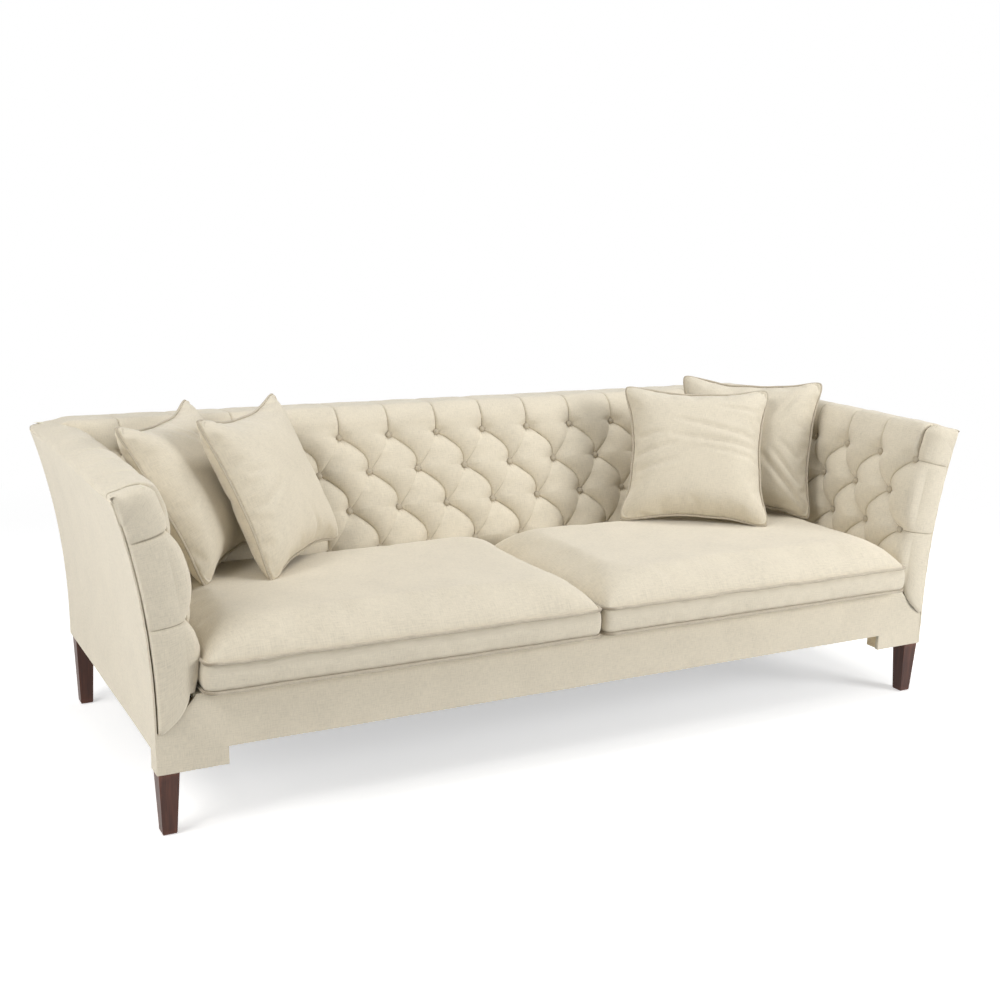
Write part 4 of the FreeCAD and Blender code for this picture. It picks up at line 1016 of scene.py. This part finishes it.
# Seat cushions
def tube(name, path, radius, seed):
    """A closed cord of slightly uneven thickness along a path."""
    count, turns = len(path), 12
    way = np.roll(path, -1, axis=0) - np.roll(path, 1, axis=0)
    way /= np.linalg.norm(way, axis=1)[:, None]
    length = run_along(np.linalg.norm(np.diff(path, axis=0), axis=1))
    up = np.array((0.0, 0.0, 1.0))
    frames = []
    for step in range(count):
        up = up - way[step] * (up @ way[step])
        up /= np.linalg.norm(up)
        frames.append((up, np.cross(way[step], up)))
    first, last = frames[0], frames[-1]
    twist = math.atan2(last[0] @ first[1], last[0] @ first[0])
    points, uv, faces = [], [], []
    thick = 1.0 + 0.05 * ripple(length, 0 * length, seed, 0.03)
    for step in range(count):
        a, b = frames[step]
        turn = -twist * step / count
        low, high = step * turns, ((step + 1) % count) * turns
        for side in range(turns):
            angle = 2 * math.pi * side / turns + turn
            after = (side + 1) % turns
            points.append(path[step] + radius * thick[step] * (a * math.cos(angle) + b * math.sin(angle)))
            uv.append((length[step], radius * 2 * math.pi * side / turns))
            faces.append((low + side, high + side, high + after, low + after))
    return new_object(name, points, faces, uv, cord_linen)


def perimeter(count_u, count_v):
    """Indices of a grid's outer ring, in order."""
    index = np.arange(count_u * count_v).reshape(count_v, count_u)
    return np.concatenate([index[0, :-1], index[:-1, -1], index[-1, :0:-1], index[:0:-1, 0]])


def settle(piece, pinned, pressure, growth, frames, cap, stiffness):
    """Lets the cloth swell and crease under pressure; no point ends further away than the cap."""
    scene = bpy.context.scene
    before = coordinates(piece)
    group = piece.vertex_groups.new(name="held")
    group.add([int(k) for k in pinned], 1.0, "REPLACE")
    cloth = piece.modifiers.new("settle", "CLOTH")
    cloth.settings.quality = 4
    cloth.settings.mass = 0.3
    cloth.settings.use_pressure = True
    cloth.settings.uniform_pressure_force = pressure
    cloth.settings.tension_stiffness = stiffness
    cloth.settings.compression_stiffness = stiffness
    cloth.settings.shear_stiffness = stiffness * 0.4
    cloth.settings.bending_stiffness = 0.25
    cloth.settings.tension_damping = 12.0
    cloth.settings.air_damping = 6.0
    cloth.settings.shrink_min = -growth
    cloth.settings.shrink_max = -growth
    cloth.settings.vertex_group_mass = "held"
    cloth.settings.effector_weights.gravity = 0.0
    cloth.collision_settings.use_collision = False
    cloth.point_cache.frame_start = 1
    cloth.point_cache.frame_end = frames
    for number in range(1, frames + 1):
        scene.frame_set(number)
    apply_modifiers(piece)
    move = coordinates(piece) - before
    size = np.linalg.norm(move, axis=1)
    scale = np.where(size > 1e-9, cap * np.tanh(size / cap) / np.maximum(size, 1e-9), 0.0)
    set_coordinates(piece, before + move * scale[:, None])
    piece.vertex_groups.clear()
    scene.frame_set(1)


def subdivide(piece):
    """Adds smooth subdivision and keeps its result."""
    soft = piece.modifiers.new("soft", "SUBSURF")
    soft.levels = 1
    soft.render_levels = 1
    apply_modifiers(piece)


def build_seat_cushion(word, seed):
    """One seat cushion: crowned cover, boxing, and welts along both seams."""
    low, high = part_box("seat_cushion_piping_" + word)
    cover_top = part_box("seat_cushion_cover_" + word)[1][2]
    seam_low_z, seam_high_z = deck_z + 0.006, deck_z + 0.073
    corner = 0.022
    seam_inset, boxing_inset, welt_inset = 0.0083, 0.0045, 0.0042
    welt_radius, welt_step = 0.0040, 0.004
    crown_run, under_run = 0.160, 0.12
    crown_power = 2.4
    boxing_steps = 6
    nu, nv = 84, 56
    # Columns closer together at the ends
    line = 0.5 - 0.5 * np.cos(np.pi * (0.12 + 0.76 * np.linspace(0, 1, nu)))
    u, v = np.meshgrid(line, np.linspace(0, 1, nv))
    u = (u - u.min()) / (u.max() - u.min())

    def outline(inset, u, v):
        """Points of the cushion's plan, with round corners."""
        x = mix(low[0] + inset, high[0] - inset, u)
        y = mix(low[1] + inset, high[1] - inset, v)
        qx = np.clip(x, low[0] + inset + corner, high[0] - inset - corner)
        qy = np.clip(y, low[1] + inset + corner, high[1] - inset - corner)
        dx, dy = (x - qx) / corner, (y - qy) / corner
        both = (np.abs(dx) > 0) & (np.abs(dy) > 0)
        longer = np.maximum(np.maximum(np.abs(dx), np.abs(dy)), 1e-9)
        size = np.where(both, np.maximum(np.hypot(dx, dy), 1e-9) / longer, 1.0)
        return qx + dx * corner / size, qy + dy * corner / size

    def crowned(x, y, run, height):
        """The rise over the seams from how far in a point lies."""
        total = 1.0
        for value, start, end in ((x, low[0] + seam_inset, high[0] - seam_inset),
                                  (y, low[1] + seam_inset, high[1] - seam_inset)):
            inset = np.clip(np.minimum(value - start, end - value), 0.0, None)
            share = np.clip(inset / run, 0.0, 1.0) ** (1 / 1.6)
            total = total * (1.0 - (1.0 - share) ** crown_power)
        return height * total

    # Top, boxing and underside, each as points with their place on the cloth
    x, y = outline(seam_inset, u, v)
    wave = 0.0012 * ripple(x, y, seed, 0.09)
    top_z = seam_high_z + crowned(x, y, crown_run, cover_top - seam_high_z) + wave * 0.4
    ring = perimeter(nu, nv)
    loop_u, loop_v = u.ravel()[ring], v.ravel()[ring]
    vertices = [stack(x, y, top_z).reshape(-1, 3)]
    uv = [stack(x, y).reshape(-1, 2)]
    ring_x, ring_y = outline(boxing_inset, loop_u, loop_v)
    ring_run = run_along(np.hypot(np.diff(ring_x), np.diff(ring_y)))
    top_wave = 0.0016 * ripple(ring_x, ring_y, seed + 1, 0.16)
    top_wave = top_wave + 0.0007 * ripple(ring_x, ring_y, seed + 5, 0.05)
    low_wave = 0.0012 * ripple(ring_x, ring_y, seed + 2, 0.20)
    low_seam = np.maximum(low_wave, -0.001)
    vertices[0][ring, 2] += top_wave
    for step in range(1, boxing_steps):
        t = step / boxing_steps
        bulge = 0.0022 * math.sin(math.pi * t)
        bx, by = outline(boxing_inset - bulge, loop_u, loop_v)
        bz = mix(seam_high_z + top_wave, seam_low_z + low_wave * 0.5, t)
        vertices.append(stack(bx, by, bz))
        uv.append(stack(ring_run, 2.0 + 0 * ring_run + (seam_high_z - seam_low_z) * t))
    under = stack(x, y, seam_low_z - crowned(x, y, under_run, 0.0050)).reshape(-1, 3)
    under[ring, 2] += low_seam
    vertices.append(under)
    uv.append(stack(x + 3.0, y).reshape(-1, 2))
    base_under = nu * nv + (boxing_steps - 1) * len(ring)
    rings = [nu * nv + k * len(ring) + np.arange(len(ring)) for k in range(boxing_steps - 1)]
    rings = [ring] + rings + [base_under + ring]
    faces = [grid_faces(nv, nu)]
    for upper, lower in zip(rings, rings[1:]):
        faces.append(np.stack([upper, lower, np.roll(lower, -1), np.roll(upper, -1)], axis=1))
    faces.append(grid_faces(nv, nu, flip=True) + base_under)
    piece = new_object("seat_cushion_" + word, np.concatenate(vertices), np.concatenate(faces),
                       np.concatenate(uv), linen)
    pinned = np.concatenate([ring, base_under + ring])
    settle(piece, pinned, pressure=2.2, growth=0.010, frames=16, cap=0.007, stiffness=8.0)
    points = coordinates(piece)
    points[:, 0] = np.clip(points[:, 0], low[0] + 0.0012, high[0] - 0.0012)
    points[:, 1] = np.clip(points[:, 1], low[1] - 0.001, high[1] - 0.0012)
    points[:, 2] = np.clip(points[:, 2], deck_z + 0.0006, cover_top + 0.004)
    set_coordinates(piece, points)
    subdivide(piece)
    claim(piece, "seat_cushion_" + word, "linen", "seat_cushion_cover_" + word, "seat_cushion_foam_" + word)
    px, py = outline(welt_inset, loop_u, loop_v)
    piping = ["seat_cushion_piping_" + word]
    for label, level, nodes in (("top", seam_high_z + top_wave, piping), ("low", seam_low_z + low_seam, [])):
        path = stack(px, py, level)
        keep = [0]
        for index in range(1, len(path)):
            if np.linalg.norm(path[index] - path[keep[-1]]) > welt_step:
                keep.append(index)
        welt = tube("welt_%s_%s" % (label, word), path[keep], welt_radius, seed + 7)
        claim(welt, "seat_cushion_" + word, "cord_linen", *nodes)


# Scatter cushions: turn and lean in degrees, shift, roll in degrees, and the creases, each as start, end,
# depth and width
pillows = {
    "pillow_rear_left": (52.0, 29.0, (-0.014, -0.004, 0.0), -1.5, (
        ((0.50, -0.75), (0.55, 0.60), 0.010, 0.10),
        ((0.80, 0.10), (0.25, 0.65), 0.006, 0.05),
        ((0.05, 0.88), (0.55, 0.30), 0.005, 0.04),
        ((-0.20, 0.90), (0.30, 0.45), 0.004, 0.04))),
    "pillow_front_left": (45.5, 26.0, (-0.014, -0.004, 0.0), -2.0, (
        ((-0.85, -0.20), (-0.30, 0.00), 0.004, 0.05),
        ((-0.85, 0.25), (-0.45, 0.20), 0.003, 0.04),
        ((0.20, -0.90), (0.05, -0.40), 0.004, 0.05))),
    "pillow_rear_right": (-45.0, 24.5, (0.004, 0.0, 0.0), 0.0, (
        ((0.85, -0.80), (0.25, -0.15), 0.008, 0.045),
        ((0.88, -0.55), (0.45, -0.10), 0.007, 0.035),
        ((0.88, -0.20), (0.55, 0.05), 0.005, 0.03),
        ((0.70, 0.80), (0.45, 0.35), 0.005, 0.04))),
    "pillow_front_right": (-33.5, 31.0, (0.004, 0.0, 0.0), 0.0, (
        ((0.92, 0.20), (-0.30, 0.46), 0.008, 0.036),
        ((0.92, 0.06), (-0.40, 0.20), 0.008, 0.036),
        ((0.92, -0.10), (0.10, 0.02), 0.005, 0.030),
        ((0.90, 0.60), (0.35, 0.68), 0.005, 0.030),
        ((-0.95, -0.10), (-0.35, 0.06), 0.007, 0.036),
        ((-0.92, 0.16), (-0.45, 0.26), 0.005, 0.030),
        ((-0.92, -0.34), (-0.30, -0.20), 0.005, 0.040))),
}


def crease_depth(p, q, start, end, depth, width):
    """A soft valley between two points of the face."""
    sx, sz = start
    ex, ez = end
    length2 = (ex - sx) ** 2 + (ez - sz) ** 2
    t = ((p - sx) * (ex - sx) + (q - sz) * (ez - sz)) / length2
    held = np.clip(t, 0.0, 1.0)
    distance = np.hypot(p - sx - held * (ex - sx), q - sz - held * (ez - sz))
    valley = np.exp(-(distance / width) ** 2) - 0.45 * np.exp(-((distance - 1.9 * width) / width) ** 2)
    return depth * valley * np.sin(np.pi * np.clip(0.15 + 0.7 * held, 0, 1))


def build_pillow(name, turn, lean, shift, roll, creases, seed):
    """One scatter cushion: two faces joined at a seam with piping, drawn in between its ears."""
    low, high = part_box(name + "_cover")
    middle = (Vector(low) + Vector(high)) / 2
    half, thick, draw_in = 0.2235, 0.066, 0.036
    fullest, fullest_share = 0.074, 0.94
    cord_radius, cord_inset = 0.0031, 0.0022
    count = 60
    line = np.sin(np.linspace(-1, 1, count) * math.pi / 2 * 0.93) / math.sin(math.pi / 2 * 0.93)
    p, q = np.meshgrid(line, line)
    draw = random.Random(seed)
    pulls = [draw.uniform(0.75, 1.2) for _ in range(4)]
    pull_x = draw_in * (1 - np.abs(q) ** 2.6) ** 1.2 * np.where(p > 0, pulls[0], pulls[1])
    pull_z = draw_in * (1 - np.abs(p) ** 2.6) ** 1.2 * np.where(q > 0, pulls[2], pulls[3])
    blunt = np.maximum(np.power(np.abs(p) ** 12 + np.abs(q) ** 12, 1 / 12), 1.0)
    x = p / blunt * (half - pull_x) + 0.0016 * ripple(q * half, 0 * q, seed + 1, 0.12) * p
    z = q / blunt * (half - pull_z) + 0.0016 * ripple(p * half, 0 * p, seed + 2, 0.12) * q
    body = np.power(np.clip((1 - np.abs(p) ** 2.4) * (1 - np.abs(q) ** 2.4), 0, 1), 0.50)
    body = body * (1.0 - 0.05 * q) * (1 + 0.05 * ripple(p, q, seed + 3, 1.2))
    bow = 0.004 * ripple(p, q, seed + 4, 2.2) * (1 - body)
    near_y = -thick * body
    for crease in creases:
        near_y = near_y + crease_depth(p, q, *crease) * smooth(0.0, 0.35, body)
    front = stack(x, near_y + bow, z).reshape(-1, 3)
    rear = stack(x, thick * body + bow, z).reshape(-1, 3)
    # Both faces share the vertices of the seam
    ring = perimeter(count, count)
    inside = np.ones(count * count, bool)
    inside[ring] = False
    rear_index = np.arange(count * count)
    rear_index[inside] = count * count + np.arange(inside.sum())
    vertices = np.concatenate([front, rear[inside]])
    faces = np.concatenate([grid_faces(count, count), rear_index[grid_faces(count, count, flip=True)]])
    face_uv = stack(p * 0.228, q * 0.228).reshape(-1, 2)
    piece = new_object(name, vertices, faces, np.concatenate([face_uv, face_uv[inside]]), linen)
    settle(piece, ring, pressure=3.0, growth=0.022, frames=20, cap=0.009, stiffness=6.0)
    # Evens out the fullest places
    points = coordinates(piece)
    points[:, 1] = fullest * np.tanh(points[:, 1] / fullest) / math.tanh(1.0) * fullest_share
    set_coordinates(piece, points)
    seam = points[ring]
    subdivide(piece)
    outward = seam / np.linalg.norm(seam, axis=1)[:, None]
    outward[:, 1] = 0.0
    cord = tube(name + "_piping", seam + outward * cord_inset, cord_radius, seed + 9)
    place = Matrix.Translation(middle + Vector(shift)) @ Matrix.Rotation(math.radians(turn), 4, "Z")
    place = place @ Matrix.Rotation(math.radians(-lean), 4, "X") @ Matrix.Rotation(math.radians(roll), 4, "Y")
    for thing in (piece, cord):
        thing.data.transform(place)
    claim(piece, name, "linen", name + "_cover", name + "_insert")
    claim(cord, name, "cord_linen")


def finish_cad_nodes():
    """Gives every node that still shows its material, with softened edges on the legs."""
    slots = {part["node"]: part["material_slot"] for part in frame["record"]["subparts"]}
    for node, thing in frame["nodes"].items():
        thing.data.materials.clear()
        thing.data.materials.append(slot_materials[slots[node]])
        if node.startswith("leg_") and slots[node] == "walnut":
            round_edges(thing, 0.0012, 2, 40)


# Studio: lamps as place, target, size, power in watts and colour, and the camera of the photograph
lamps = {
    "key": ((-3.3, -1.3, 3.2), (0.0, 0.0, 0.45), (1.5, 1.5), 70.0, (1.0, 0.99, 0.97)),
    "top": ((1.1, 0.1, 4.2), (0.4, 0.0, 0.4), (2.0, 1.6), 72.0, white),
    "left": ((-4.6, 0.4, 1.5), (-1.0, 0.0, 0.5), (2.0, 2.0), 52.0, white),
    "fill": ((3.4, -3.6, 1.9), (0.4, -0.3, 0.4), (2.0, 1.6), 144.0, white),
}
camera_place = (-1.7848, -3.2257, 1.3919)
camera_angles = (28.40, 12.46, 1.42)
camera_lens, sensor_width = 48.70, 36.0
floor_size = 14.0
fade_start, fade_end = 1.9, 3.6


def area_lamp(name, place, target, size, power, colour):
    """A soft box."""
    data = bpy.data.lights.new(name, "AREA")
    data.shape = "RECTANGLE"
    data.size, data.size_y = size
    data.energy = power
    data.color = colour
    lamp = bpy.data.objects.new(name, data)
    lamp.location = place
    way = Vector(target) - lamp.location
    lamp.rotation_euler = way.to_track_quat("-Z", "Y").to_euler()
    bpy.context.scene.collection.objects.link(lamp)


def seen_by_rays(n):
    """1 where the camera looks straight, by a mirror or through something, 0 for light that is passed on."""
    rays = n.add("ShaderNodeLightPath").outputs
    seen = n.maths("MAXIMUM", rays["Is Camera Ray"], rays["Is Glossy Ray"])
    return n.maths("MAXIMUM", seen, rays["Is Transmission Ray"])


def build_floor():
    """A pale floor that fades to white away from the sofa."""
    corners = [(x * floor_size, y * floor_size, 0) for x, y in ((-1, -1), (1, -1), (1, 1), (-1, 1))]
    floor = new_object("floor", corners, [(0, 1, 2, 3)], smooth_faces=False)
    n = Nodes(bpy.data.materials.new("floor"))
    place = n.place()
    colour = n.ramp(n.noise(place, 3.0, 4.0), ((0.3, (0.84, 0.84, 0.84)), (0.7, (0.86, 0.86, 0.86))))
    matte = n.add("ShaderNodeBsdfDiffuse", Color=colour)
    seen = seen_by_rays(n)
    glow = n.add("ShaderNodeEmission", Color=(*white, 1.0), Strength=n.maths("MULTIPLY", seen, 0.50))
    pale = n.join(n.add("ShaderNodeAddShader"), matte.outputs[0], glow.outputs[0])
    blank = n.add("ShaderNodeEmission", Color=(*white, 1.0), Strength=1.0)
    span = n.add("ShaderNodeVectorMath")
    span.operation = "LENGTH"
    n.put(span.inputs[0], place)
    away = n.add("ShaderNodeMapRange", Value=span.outputs["Value"])
    away.interpolation_type = "SMOOTHSTEP"
    away.inputs["From Min"].default_value = fade_start
    away.inputs["From Max"].default_value = fade_end
    share = n.maths("MULTIPLY", away.outputs[0], seen)
    n.to_output(n.join(n.add("ShaderNodeMixShader"), share, pale, blank.outputs[0]))
    floor.data.materials.append(n.owner)


def build_world():
    """Soft light from all round, and white where the camera sees past the floor."""
    n = Nodes(bpy.data.worlds.new("studio"), "ShaderNodeOutputWorld")
    ambient = n.add("ShaderNodeBackground", Color=(0.97, 0.985, 1.0, 1.0), Strength=0.21)
    blank = n.add("ShaderNodeBackground", Color=(*white, 1.0), Strength=1.0)
    n.to_output(n.join(n.add("ShaderNodeMixShader"), seen_by_rays(n), ambient.outputs[0], blank.outputs[0]))
    bpy.context.scene.world = n.owner


def build_camera():
    """The camera at the photograph's angle."""
    camera = bpy.data.objects.new("camera", bpy.data.cameras.new("camera"))
    camera.data.sensor_width = sensor_width
    camera.data.lens = camera_lens
    camera.data.clip_end = 60.0
    yaw, pitch, roll = [math.radians(angle) for angle in camera_angles]
    forward = Vector((math.sin(yaw) * math.cos(pitch), math.cos(yaw) * math.cos(pitch), -math.sin(pitch)))
    right = Vector((math.cos(yaw), -math.sin(yaw), 0.0))
    up = right.cross(forward)
    level_right = right * math.cos(roll) + up * math.sin(roll)
    level_up = up * math.cos(roll) - right * math.sin(roll)
    turn = Matrix((level_right, level_up, -forward)).transposed()
    camera.matrix_world = Matrix.Translation(camera_place) @ turn.to_4x4()
    bpy.context.scene.collection.objects.link(camera)
    bpy.context.scene.camera = camera
    bpy.context.scene.view_settings.view_transform = "Standard"


build_floor()
build_world()
for name, values in lamps.items():
    area_lamp(name, *values)
build_camera()
build_back_tufts()
build_arm_tufts(1, "right", 20.0)
build_arm_tufts(-1, "left", 24.0)
build_buttons()
for side, word in both_sides:
    build_outside_arm(side, word)
build_outside_back()
build_border()
build_deck()
build_seat_cushion("right", 71)
build_seat_cushion("left", 83)
for number, (name, values) in enumerate(pillows.items()):
    build_pillow(name, *values, 101 + 10 * number)
finish_cad_nodes()
